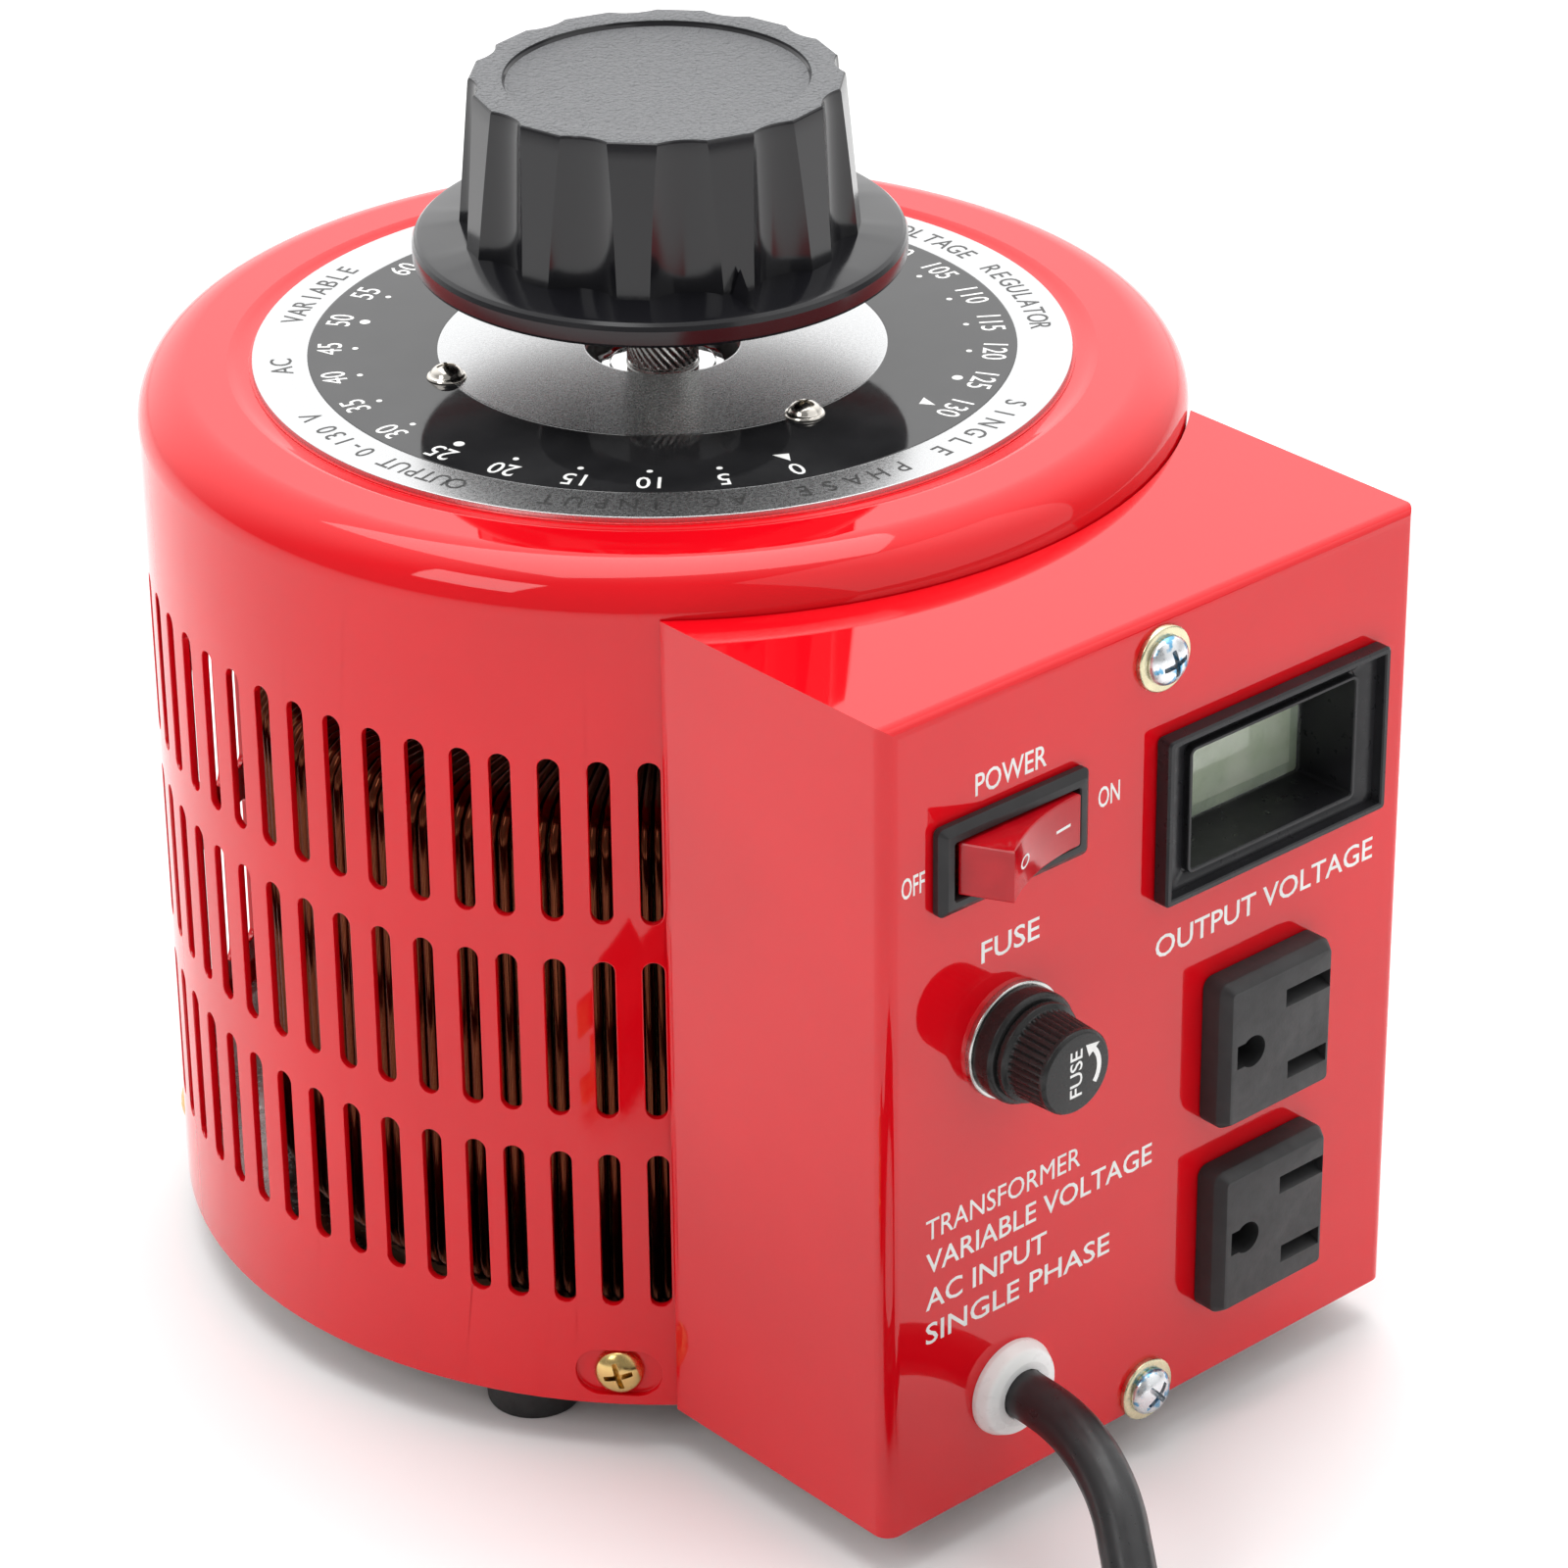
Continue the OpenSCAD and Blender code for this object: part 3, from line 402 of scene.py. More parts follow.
def slab_rings(width, height, corner, steps):
    """Rings of a rounded rectangle; each step is (inset, z) in mm."""
    return [ring_at(rounded_outline(width - 2 * inset, height - 2 * inset,
                                    max(0.15, corner - inset)), z) for inset, z in steps]


def prism(name, outline, low=0.0, high=INK_THICK):
    """An outline in mm drawn out from one height to another, by default as thin as print."""
    return loft(name, [ring_at(outline, z) for z in (low, high)])


def stand_on_panel(piece, x, y, z=0.0):
    """Turns a piece drawn with +Z outwards so that it stands on the panel at x, y (metres)."""
    piece.data.transform(Matrix.Translation(on_panel(x, y, z)) @ FACE_OUT)
    return piece


def final_mesh(piece):
    """A copy of what a piece shows, with its modifiers applied."""
    graph = bpy.context.evaluated_depsgraph_get()
    return bpy.data.meshes.new_from_object(piece.evaluated_get(graph))


def apply_modifiers(piece, sharp):
    mesh = final_mesh(piece)
    piece.modifiers.clear()
    piece.data = smoothed(mesh, sharp)
    return mesh


def cut(piece, cutters):
    """Takes the cutters out of a piece, and throws them away."""
    for cutter in cutters:
        boolean = piece.modifiers.new("cut", "BOOLEAN")
        boolean.operation, boolean.solver, boolean.object = "DIFFERENCE", "EXACT", cutter
    apply_modifiers(piece, 30)
    for cutter in cutters:
        bpy.data.objects.remove(cutter)
    return piece


def rectangle(x0, x1, y0, y1):
    return [(x0, y0), (x1, y0), (x1, y1), (x0, y1)]


def join(name, parts, sharp=35):
    """One piece out of several meshes."""
    whole = bmesh.new()
    for part in parts:
        whole.from_mesh(part.data)
        bpy.data.objects.remove(part)
    mesh = bpy.data.meshes.new(name)
    whole.to_mesh(mesh)
    whole.free()
    return add_object(name, smoothed(mesh, sharp))


def on_axis(piece):
    """Moves a piece drawn round the origin to the shaft's axis."""
    piece.data.transform(ON_AXIS)
    return piece


# ---- lettering

def text_mesh(text, bold=0.0):
    """The built-in font's flat mesh for a text, at size 1."""
    data = bpy.data.curves.new("text", "FONT")
    data.body, data.size, data.offset, data.resolution_u = text, 1.0, bold, 3
    font = add_object("text", data)
    mesh = final_mesh(font)
    bpy.data.objects.remove(font)
    return mesh


FONT_CAP = max(v.co.y for v in text_mesh("H").vertices)
FONT_NARROWING = 0.86


def letters(name, text, cap, width=None, bold=0.0):
    """Flat lettering in mm: baseline at y 0, centred on x 0, with cap height cap."""
    # The font's M turns inside out when it is emboldened
    mesh = text_mesh(text, 0.0 if "M" in text else bold)
    xs = [v.co.x for v in mesh.vertices]
    left, right = min(xs), max(xs)
    scale_y = cap / FONT_CAP
    scale_x = width / (right - left) if width else scale_y * FONT_NARROWING
    for v in mesh.vertices:
        v.co = Vector(((v.co.x - (left + right) / 2) * scale_x, v.co.y * scale_y, 0)) * MM
    solid = bmesh.new()
    solid.from_mesh(mesh)
    bmesh.ops.remove_doubles(solid, verts=solid.verts, dist=SAME_POINT)
    grown = bmesh.ops.extrude_face_region(solid, geom=solid.faces[:])
    moved = [g for g in grown["geom"] if isinstance(g, bmesh.types.BMVert)]
    bmesh.ops.translate(solid, verts=moved, vec=(0, 0, INK_THICK * MM))
    bmesh.ops.recalc_face_normals(solid, faces=solid.faces)
    solid.to_mesh(mesh)
    solid.free()
    return add_object(name, mesh)


# ---- cord

CORD_D = 0.008
LEAD = [
    (-28.5, -84, 24), (-28.5, -89, 24), (-28.5, -94, 24), (-28.79, -99.8, 23.57),
    (-29.64, -105.42, 22.31), (-31.03, -110.69, 20.25), (-32.92, -115.43, 17.45),
    (-35.25, -119.51, 14), (-37.58, -123.59, 10.55), (-39.47, -128.33, 7.75),
    (-40.86, -133.6, 5.69), (-41.71, -139.22, 4.43), (-42, -145.02, 4), (-42, -151, 4),
    (-42, -157.5, 4),
]
TAIL = [(-146, -158, 12), (-146, -151, 12), (-146, -144, 12), (-146, -140, 12)]
COIL_AT = (-94, -164)
COIL_TURNS = 3.5
POINTS_A_TURN = 24


def ease(start, end, t):
    """0 before start, 1 after end, and a smooth step between them."""
    x = min(1, max(0, (t - start) / (end - start)))
    return x * x * (3 - 2 * x)


def coil_point(t):
    """A point t turns into the coil, in mm: an outer turn, two inner ones that climb to an upper
    layer, and an outer one again."""
    step = CORD_D / MM
    radius = 52 - step * ease(0.74, 0.96, t) + step * ease(2.5, 2.72, t)
    height = step / 2 + step * ease(1.62, 1.86, t)
    angle = -math.tau * t
    return COIL_AT[0] + radius * math.cos(angle), COIL_AT[1] + radius * math.sin(angle), height


def tube_curve(name, points, radius):
    """A round wire through points in metres, as a smooth curve of one open spline."""
    data = bpy.data.curves.new(name, "CURVE")
    data.dimensions = "3D"
    data.bevel_depth = radius
    data.bevel_resolution = 4
    data.use_fill_caps = True
    spline = data.splines.new("BEZIER")
    spline.bezier_points.add(len(points) - 1)
    for knot, point in zip(spline.bezier_points, points):
        knot.co = point
        knot.handle_left_type = knot.handle_right_type = "AUTO"
    data.resolution_u = 6
    return add_object(name, data)


def make_cord():
    """The mains cord: out of the box, down to the floor, into its coil, and on to the plug."""
    steps = round(COIL_TURNS * POINTS_A_TURN)
    route = LEAD + [coil_point(i / POINTS_A_TURN) for i in range(steps + 1)] + TAIL
    cord = tube_curve("mains_cord", [Vector(p) * MM for p in route], CORD_D / 2)
    finish_piece(cord, "cord_rubber", nodes=["cord_tube", "cord_coil"])


make_camera()
make_cord()


# ---- knob

FLUTES = 12
GRIP_LOW, GRIP_HIGH = 169.4, 193.2
GRIP_FOOT_R, GRIP_TOP_R = 30.6, 28.4


def grip_outline(z, inset=0.0):
    """The grip's section at a height: flat ribs, and between them scoops that deepen downwards."""
    down = (GRIP_HIGH - z) / (GRIP_HIGH - GRIP_LOW)
    radius = GRIP_TOP_R + (GRIP_FOOT_R - GRIP_TOP_R) * down - inset
    scoop, depth = 8.0, 1.13 + 1.6 * down
    centre = radius - depth + scoop
    pitch = math.tau / FLUTES
    edge = math.acos((centre ** 2 + radius ** 2 - scoop ** 2) / (2 * centre * radius))
    rib = pitch - 2 * edge
    flat = radius * math.cos(rib / 2)
    flute = []
    for k in range(13):
        off = edge * (k / 6 - 1)
        bow = math.sqrt(scoop ** 2 - (centre * math.sin(off)) ** 2)
        flute.append((off, centre * math.cos(off) - bow))
    for k in range(1, 4):
        off = edge + rib * k / 4
        flute.append((off, flat / math.cos(off - pitch / 2)))
    points = []
    for i in range(FLUTES):
        middle = ZERO_ANGLE + (i + 0.5) * pitch
        points += [(reach * math.cos(middle + off), reach * math.sin(middle + off), z)
                   for off, reach in flute]
    return points


def round_ring(like, radius, z):
    """A circle whose points stand at the same angles as those of another ring."""
    return [(radius * x / math.hypot(x, y), radius * y / math.hypot(x, y), z) for x, y, _ in like]


def make_knob():
    """Skirt, fluted grip, sunk top and a hollow underside, all one moulding."""
    head, foot = grip_outline(GRIP_HIGH), grip_outline(GRIP_LOW)
    rings = [round_ring(head, r, GRIP_HIGH - drop) for r, drop in (
        (0.4, 1.05), (22.2, 1.05), (22.9, 0.9), (23.2, 0.5), (23.3, 0.12), (23.6, 0))]
    rings += [grip_outline(GRIP_HIGH - drop, inset) for drop, inset in (
        (0, 0.6), (0.08, 0.26), (0.26, 0.08), (0.6, 0))]
    rings += [grip_outline(GRIP_HIGH + (GRIP_LOW - GRIP_HIGH) * k / 8) for k in range(1, 9)]
    skirt = ((36.2, 168.75), (37.0, 168.55), (37.5, 168.1), (37.8, 167.4), (37.8, 165.3),
             (37.6, 164.85), (37.1, 164.7))
    hollow = ((19.6, 164.7), (19.3, 165.0), (19.3, 182.5), (18.6, 183.2), (13.0, 183.2),
              (12.1, 182.4), (12.1, 165.2), (11.8, 164.7))
    bore = ((5.9, 164.7), (5.65, 164.95), (5.65, 186.0), (0.4, 186.0))
    rings += [round_ring(foot, r, z) for r, z in skirt + hollow + bore]
    body = loft("knob_grip", rings, sharp=22)
    corners = ((31, -1.6, 168.6), (31, 1.6, 168.6), (37.2, 0, 168.3), (31, 0, 173.4),
               (27.8, 0, 169.5))
    fin = mesh_piece("pointer", [Vector(p) * MM for p in corners],
                     [(0, 2, 3), (2, 1, 3), (1, 4, 3), (4, 0, 3), (0, 4, 1, 2)], 10)
    fin.data.transform(Matrix.Rotation(ZERO_ANGLE, 4, "Z"))
    finish_piece(on_axis(join("knob_moulding", [body, fin], 22)), "knob_plastic", "rotor", ["knob"],
                 knob_look())


def knob_look():
    """Black phenolic: gloss sides, and a leather-like grain on the top, and only there; the
    up-facing top also has painted light, a lighter grey base colour.
    """
    m = Nodes("knob_moulding", (0.008, 0.008, 0.01), 0.12, Specular_IOR_Level=0.5)
    surface = m.add("NewGeometry")
    faces_up = m.ranged(m.z_of(surface.outputs["Normal"]), 0, 1, 0.8, 0.95)
    at_top = m.ranged(m.z_of(surface.outputs["Position"]), 0, 1, 0.191, 0.192)
    top = m.product(faces_up, at_top)
    # Painted light: the up-facing top is mixed to a lighter grey as if lit from above; its roughness
    # and bump grain are real.
    m.mottle(top, (0.16, 0.163, 0.17), 0, 1, 0, 1).rough(top, 0.15, 0.5, 0, 1)
    return m.bump(m.product(m.noise(1350, 3), top), 0.0012).material


# ---- dial

def dial_angle(volts):
    """The angle of a figure; the scale runs clockwise."""
    return ZERO_ANGLE - TRAVEL * volts / FULL_SCALE


def turned_to(piece, angle, radius, z):
    """Moves a flat piece drawn round the origin out along an angle, its top outwards."""
    out = Matrix.Translation((shaft_at.x, axis_y, z)) @ Matrix.Rotation(angle - math.pi / 2, 4, "Z")
    piece.data.transform(out @ Matrix.Translation((0, radius * MM, 0)))
    return piece


def flat_ring(name, inner, outer, z0, z1, edge=0.08):
    """A flat ring with rounded upper edges; a loop inside each keeps its top shading flat."""
    loop = 0.3
    return on_axis(lathe(name, [
        (inner, z0, 0), (inner, z1, edge), (inner + loop, z1, 0), (outer - loop, z1, 0),
        (outer, z1, edge), (outer, z0, 0)], 192, closed=True, fillet_steps=2))


def arc_text(name, text, radius, centre, cap, pitch):
    """Capitals set one by one round an arc, read clockwise, centred on an angle in degrees."""
    parts = []
    for i, letter in enumerate(text):
        if letter == " ":
            continue
        angle = math.radians(centre) - (i - (len(text) - 1) / 2) * pitch / radius
        parts.append(turned_to(letters("letter", letter, cap), angle, radius, dial_z))
    return join(name, parts)


def make_dial():
    """Silver rim, black scale and silver centre, with white marks and figures every 5 volts."""
    top, low = dial_z / MM, dial_low.z / MM
    scale_out, centre_out, hole = 54.5, 34.6, 12.0
    figures_at, dots_at, ends_at, legends_at = 49.3, 47.2, 46.6, 56.9
    silver = Nodes("dial_silver", (0.6, 0.605, 0.61), 0.27, Metallic=1.0)
    silver.rough(silver.noise(1800, 2), 0.24, 0.3)
    silver = silver.bump(silver.noise(2400, 2), 4e-7, 0.4).material
    rim = flat_ring("dial_rim", scale_out, dial_r / MM, low, top)
    finish_piece(rim, "dial_print", nodes=["dial_plate"], look=silver)
    finish_piece(flat_ring("dial_scale", centre_out, scale_out, low, top, 0.01), "dial_print")
    centre = flat_ring("dial_centre", hole, centre_out, low, top, 0.02)
    finish_piece(centre, "dial_print", look=silver)
    marks = []
    for volts in range(0, FULL_SCALE + 1, 5):
        angle = dial_angle(volts)
        figure = letters("figure", str(volts), 3.7, bold=0.004)
        marks.append(turned_to(figure, angle, figures_at, dial_z))
        if volts in (0, FULL_SCALE):
            marks.append(turned_to(end_mark(-1 if volts == 0 else 1), angle, ends_at, dial_z))
        else:
            dot_r = 0.85 if volts % 25 == 0 else 0.48
            dot = lathe("dot", [(0, INK_THICK, 0), (dot_r, INK_THICK, 0), (dot_r, 0, 0),
                                (0, 0, 0)], 16)
            marks.append(turned_to(dot, angle, dots_at, dial_z))
    white = plastic("dial_white", (0.78, 0.78, 0.76), 0.35, 900, 2e-6)
    finish_piece(join("dial_figures", marks), "dial_print", look=white)
    legends = [
        arc_text("legend", text, legends_at, centre, 3.3, pitch) for text, centre, pitch in (
            ("AC INPUT", -133.5, 3.9), ("OUTPUT 0-130 V", 182, 2.5), ("AC", 146, 3.0),
            ("VARIABLE", 118, 2.9), ("VOLTAGE", 2, 2.8), ("REGULATOR", -25, 2.9),
            ("SINGLE PHASE", -88, 4.0), ("TRANSFORMER", 60, 3.2),
        )
    ]
    black = plastic("dial_black", (0.02, 0.02, 0.02), 0.35, 900, 2e-6)
    finish_piece(join("dial_legends", legends), "dial_print", look=black)


def end_mark(side):
    """The slim triangle beside the first and the last figure."""
    return prism("end_mark", [(side * 1.1, -0.9), (side * -1.3, -1.4), (side * 0.3, 1.5)])


# ---- screws

def cross_screw(name, head_r, head_h, flange_r=0.0, shank_r=1.4, turn=20):
    """A domed head with a cross recess, drawn in mm with its seat at 0 and its head towards +Z."""
    shank, dome, dome_end = 5.0, head_h * 0.72, math.radians(78)
    profile = [(0, head_h, 0)]
    for k in range(1, 7):
        a = math.radians(k * 13)
        profile.append((head_r * math.sin(a) / math.sin(dome_end),
                        head_h - dome * (1 - math.cos(a)) / (1 - math.cos(dome_end)), 0))
    if flange_r:
        profile += [(head_r + 0.05, 0.55, 0.1), (flange_r - 0.2, 0.4, 0.15), (flange_r, 0.1, 0.1)]
    else:
        profile += [(head_r, 0.15, 0.12)]
    profile += [(max(head_r, flange_r) - 0.15, 0, 0), (shank_r, 0, 0), (shank_r, -shank, 0),
                (0, -shank, 0)]
    screw = lathe(name, profile, 64)
    cutters = []
    for angle in (7, 97):
        arm = loft("arm", slab_rings(head_r * 1.25, head_r * 0.26, 0.12,
                                     [(0.22, head_h * 0.25), (0, head_h + 0.5)]))
        arm.data.transform(Matrix.Rotation(math.radians(angle), 4, "Z"))
        cutters.append(arm)
    cut(screw, cutters)
    screw.data.transform(Matrix.Rotation(math.radians(turn), 4, "Z"))
    return screw


def on_radius(piece, angle, radius, z):
    """Stands a piece drawn with +Z outwards on the shell's side, at an angle in degrees."""
    out = Matrix.Translation((radius * MM, 0, z * MM)) @ Matrix.Rotation(math.pi / 2, 4, "Y")
    piece.data.transform(ON_AXIS @ Matrix.Rotation(math.radians(angle), 4, "Z") @ out)
    return piece


def make_screws():
    """Flanged dial screws, brass shell screws, and panel screws with ink left on them."""
    nickel = metal("nickel", (0.74, 0.7, 0.64), 0.16)
    inked = Nodes("white_zinc", (0.8, 0.82, 0.84), 0.3, Metallic=1.0)
    inked.mottle(inked.noise(620, 2), (0.06, 0.36, 0.62), 0, 0.85, 0.54, 0.62)
    inked.rough(inked.noise(1200, 4), 0.22, 0.4)
    white_zinc = inked.bump(inked.noise(1200, 3), 2e-5, 0.5).material
    dial_circle, shell_face, shell_height, big_shank = 34.8, 79.93, 13.7, 1.95
    heads = [
        turned_to(cross_screw("head", 2.55, 2.1, 3.1, turn=10 + 35 * i), math.radians(angle),
                  dial_circle, dial_z)
        for i, angle in enumerate((-93, 33, 159))
    ]
    finish_piece(join("dial_screw_heads", heads), "plated_steel", nodes=["dial_screws"], look=nickel)
    heads = [
        on_radius(cross_screw("head", 3.8, 2.4, turn=8 + 25 * i, shank_r=big_shank), angle,
                  shell_face, shell_height)
        for i, angle in enumerate((-137.3, -42.7, 42.7, 137.3))
    ]
    finish_piece(join("shell_screw_heads", heads), "brass", nodes=["shell_screws"])
    seat = fit_of("panel_washers")[4] * MM
    heads = [
        stand_on_panel(cross_screw("head", 3.75, 2.4, turn=5 + 30 * i, shank_r=big_shank),
                       0, z, seat)
        for i, z in enumerate(screw_heights())
    ]
    finish_piece(join("panel_screw_heads", heads), "plated_steel", nodes=["panel_screws"],
                 look=white_zinc)


def screw_heights():
    """Heights of the two panel screws, from the washers' node."""
    low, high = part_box("panel_washers")
    radius = (high.x - low.x) / 2
    return high.z - radius, low.z + radius


# ---- winding

def make_winding():
    """Enamelled wire wound round the core in closed turns, crowded together in the ring's hole."""
    turns, sides, wire, narrowest = 210, 8, 0.93, 0.42
    narrow_at, full_at = 27, 45
    inset, outer_bend, inner_bend = 0.95, 6, 3
    low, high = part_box("winding")
    outer, inner = (high.x - low.x) / 2 / MM - inset, 27.95
    bottom, top = low.z / MM + inset, high.z / MM - inset
    path = []
    for cx, cz, bend, start in (
            (outer - outer_bend, top - outer_bend, outer_bend, 90),
            (outer - outer_bend, bottom + outer_bend, outer_bend, 0),
            (inner + inner_bend, bottom + inner_bend, inner_bend, -90),
            (inner + inner_bend, top - inner_bend, inner_bend, 180)):
        angles = [math.radians(start - 22.5 * k) for k in range(5)]
        path += [(cx + bend * math.cos(a), cz + bend * math.sin(a)) for a in angles]
    verts, faces = [], []
    count = len(path)
    for t in range(turns):
        spin = Matrix.Rotation(t * math.tau / turns, 3, "Z")
        base = len(verts)
        for i, (r, z) in enumerate(path):
            along = (Vector(path[(i + 1) % count]) - Vector(path[i - 1])).normalized()
            normal = Vector((along.y, 0, -along.x))
            share = min(1, max(0, (r - narrow_at) / (full_at - narrow_at)))
            thin = narrowest + (wire - narrowest) * share
            for k in range(sides):
                a = k * math.tau / sides
                off = wire * math.cos(a) * normal + Vector((0, thin * math.sin(a), 0))
                verts.append(spin @ (Vector((r, 0, z)) + off) * MM)
        for i in range(count):
            a, b = base + i * sides, base + (i + 1) % count * sides
            faces += [(a + k, a + (k + 1) % sides, b + (k + 1) % sides, b + k)
                      for k in range(sides)]
    coil = on_axis(mesh_piece("winding_turns", verts, faces, 60))
    finish_piece(coil, "copper", nodes=["winding"])


# ---- shaft

def make_nut():
    """The bright hex nut down in the dial's hole, with chamfered corners."""
    low, high = (corner.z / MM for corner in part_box("bushing_nut"))
    corner_r = 18.6 / math.sqrt(3)
    rings = []
    for radius, z in ((8.1, low), (9.0, low), (corner_r, low + 0.4), (corner_r, high - 0.5),
                      (9.4, high), (8.3, high), (8.05, high - 0.3)):
        ring = []
        for i in range(6):
            a, b = (radius * Vector((math.cos(turn), math.sin(turn)))
                    for turn in (math.radians(60 * i), math.radians(60 * i + 60)))
            for k in range(8):
                point = a.lerp(b, k / 8)
                if radius < corner_r:
                    point = point.normalized() * radius
                ring.append((point.x, point.y, z))
        rings.append(ring)
    nut = on_axis(loft("bushing_nut_hex", rings, closed=True, sharp=30))
    finish_piece(nut, "plated_steel", nodes=["bushing_nut"], look=BRIGHT_NICKEL)


def make_shaft():
    """The turned shaft, with the diagonal knurl that shows between the nut and the knob."""
    bottom, top = (corner.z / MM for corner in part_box("shaft"))
    radius, root, start, end = 5.6, 5.3, 147, 164.7
    profile = [(0, bottom, 0), (radius, bottom, 0.5), (radius, 146.8, 0.2), (root, start, 0)]
    profile += [(root, start + k * 0.25, 0) for k in range(1, 70)]
    profile += [(root, end, 0), (radius, 165, 0.2), (radius, top, 0.5), (0, top, 0)]

    def knurled(angle, r, z):
        if not start + 0.1 < z < end - 0.1:
            return r
        return 5.22 + 0.34 * abs(math.sin(angle * 14 + z * 2.1))

    shaft = on_axis(lathe("shaft_knurled", profile, 264, radius_of=knurled, sharp=50))
    finish_piece(shaft, "plated_steel", "rotor", ["shaft"])


# ---- panel lettering

def panel_line(text, left, right, baseline, cap):
    """One line of white print between two x places, in mm."""
    line = letters("line", text, cap, right - left, bold=0.007)
    return stand_on_panel(line, (left + right) / 2 * MM, baseline * MM)


def make_legends():
    """White capitals on the panel: what each control is, and a plain description of the unit."""
    lines = [
        ("POWER", -36.4, -22.6, 126.0, 3.4), ("OFF", -50.4, -46.0, 114.6, 3.2),
        ("ON", -12.2, -7.9, 115.2, 3.2), ("FUSE", -35.0, -23.6, 98.6, 3.4),
        ("OUTPUT VOLTAGE", 0.2, 46.4, 85.6, 3.5),
        ("TRANSFORMER", -45.6, -14.6, 56.5, 3.4), ("VARIABLE VOLTAGE", -45.6, 0.4, 50.8, 3.4),
        ("AC INPUT", -45.6, -21.3, 44.6, 3.4), ("SINGLE PHASE", -45.6, -8.2, 38.7, 3.4),
    ]
    whole = join("panel_legends", [panel_line(*line) for line in lines])
    finish_piece(whole, "dial_print", look=WHITE_INK)


# ---- meter

def make_meter():
    """A moulded frame with a sunk band, deep black walls, and the display behind its window."""
    at_x, at_z, wide, tall, out = fit_of("meter_bezel")
    bezel = loft("meter_frame", meter_rings(wide, tall, out), closed=True, sharp=25)
    plane = fit_of("meter_window")[4]
    front = fit_of("meter_lcd")[4]
    back = (panel_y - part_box("meter_lcd")[1].y) / MM
    glass = loft("meter_glass", slab_rings(39.6, 20.8, 0.6, [
        (0.15, plane - 0.95), (0, plane - 0.85), (0, plane - 0.1), (0.1, plane)]))
    panel = loft("meter_display", slab_rings(39.6, 20.8, 0.6, [
        (0.1, back), (0, back + 0.1), (0, front - 0.3)]))
    face = loft("meter_face", slab_rings(30.5, 15.6, 0.4, [
        (0, front - 0.4), (0, front - 0.08), (0.1, front)]))
    for piece in (bezel, glass, panel, face):
        stand_on_panel(piece, at_x, at_z)
    finish_piece(bezel, "black_plastic", nodes=["meter_bezel"], look=METER_BLACK)
    finish_piece(glass, "clear", nodes=["meter_window"])
    finish_piece(panel, "lcd", nodes=["meter_lcd"], look=LCD_BORDER)
    finish_piece(face, "lcd")


def meter_rings(wide, tall, out):
    """Rings from the panel over the rim, down into the band, over the inner frame and back."""
    open_w, open_h, rim_in, back_w, back_h, depth = 34, 19.4, 1.25, 42.6, 23.8, -12
    rings = slab_rings(wide, tall, 0.9, [
        (0.25, 0.02), (0, 0.25), (0, out - 0.35), (0.3, out - 0.02), (0.95, out),
        (1.15, out - 0.25), (rim_in, out - 1.9)])
    # The band runs from the rim's foot to the inner frame, which stands closer at top and bottom
    w, h = wide - 2 * rim_in, tall - 2 * rim_in
    for share, z in ((0.0, 1.0), (0.35, 0.95), (0.7, 0.62), (0.97, 0.3), (1.0, 0.15), (1.08, 0.15)):
        rings.append(ring_at(rounded_outline(
            w + (open_w + 1.5 - w) * share, h + (open_h + 1.5 - h) * share, 0.9), z))
    for grow, z in ((1.3, 1.35), (1.1, 1.5), (0.3, 1.5), (0.0, 1.3), (0.0, depth), (2.6, depth)):
        rings.append(ring_at(rounded_outline(open_w + grow, open_h + grow, 0.6 + grow / 2), z))
    return rings + [ring_at(rounded_outline(back_w, back_h, 0.8), z) for z in (depth, 0.02)]


# ---- switch

def make_switch():
    """The rocker's bevelled frame, and a translucent rocker with a dished face."""
    at_x, at_z, wide, tall, out = fit_of("switch_housing")
    hole_w, hole_h, back_w, back_h = 24.2, 9.1, 26.6, 11.8
    rings = [ring_at(rounded_outline(hole_w + grow, hole_h + grow, 0.35 + grow / 2), z)
             for grow, z in ((0, -12.9), (0, out - 0.6), (0.1, out - 0.2), (0.5, out))]
    rings += slab_rings(wide, tall, 1.1, [
        (1.5, out), (1.15, out - 0.05), (0.25, out - 0.75), (0, out - 1.0), (0, 0.3), (0.3, 0.02)])
    rings += [ring_at(rounded_outline(back_w, back_h, 0.8), z) for z in (0.02, -17.0)]
    housing = stand_on_panel(loft("switch_frame", rings, sharp=25), at_x, at_z)
    finish_piece(housing, "black_plastic", nodes=["switch_housing"], look=SWITCH_BLACK)
    pivot = Matrix.Translation(on_panel(at_x, at_z, (out - 3.3) * MM))
    place = pivot @ Matrix.Rotation(math.radians(18), 4, "Z") @ FACE_OUT
    rocker = rocker_piece()
    rocker.data.transform(place)
    finish_piece(rocker, "rocker_red", "rocker", ["switch_rocker"])
    ring = letters("mark", "O", 3.2, 2.0, 0.004)
    ring.data.transform(Matrix.Translation((0, -1.6 * MM, 0)))
    bar = prism("bar", rectangle(-0.22, 0.22, -1.6, 1.6))
    for mark, x in ((ring, -4.8), (bar, 6.2)):
        slope = math.atan(2 * ROCKER_DISH * x / ROCKER_HALF ** 2)
        mark.data.transform(
            place @ Matrix.Translation((x * MM, 0, (rocker_face(x) + 0.05) * MM))
            @ Matrix.Rotation(-slope, 4, "Y") @ Matrix.Rotation(-math.pi / 2, 4, "Z"))
    finish_piece(join("rocker_marks", [ring, bar]), "dial_print", "rocker", look=WHITE_INK)


ROCKER_HALF, ROCKER_HALF_WIDE, ROCKER_HIGH, ROCKER_DISH = 9.8, 4.2, 7.2, 1.4


def rocker_face(x):
    """Height of the rocker's dished face above its pivot, in mm."""
    return ROCKER_HIGH - ROCKER_DISH * (1 - (x / ROCKER_HALF) ** 2)


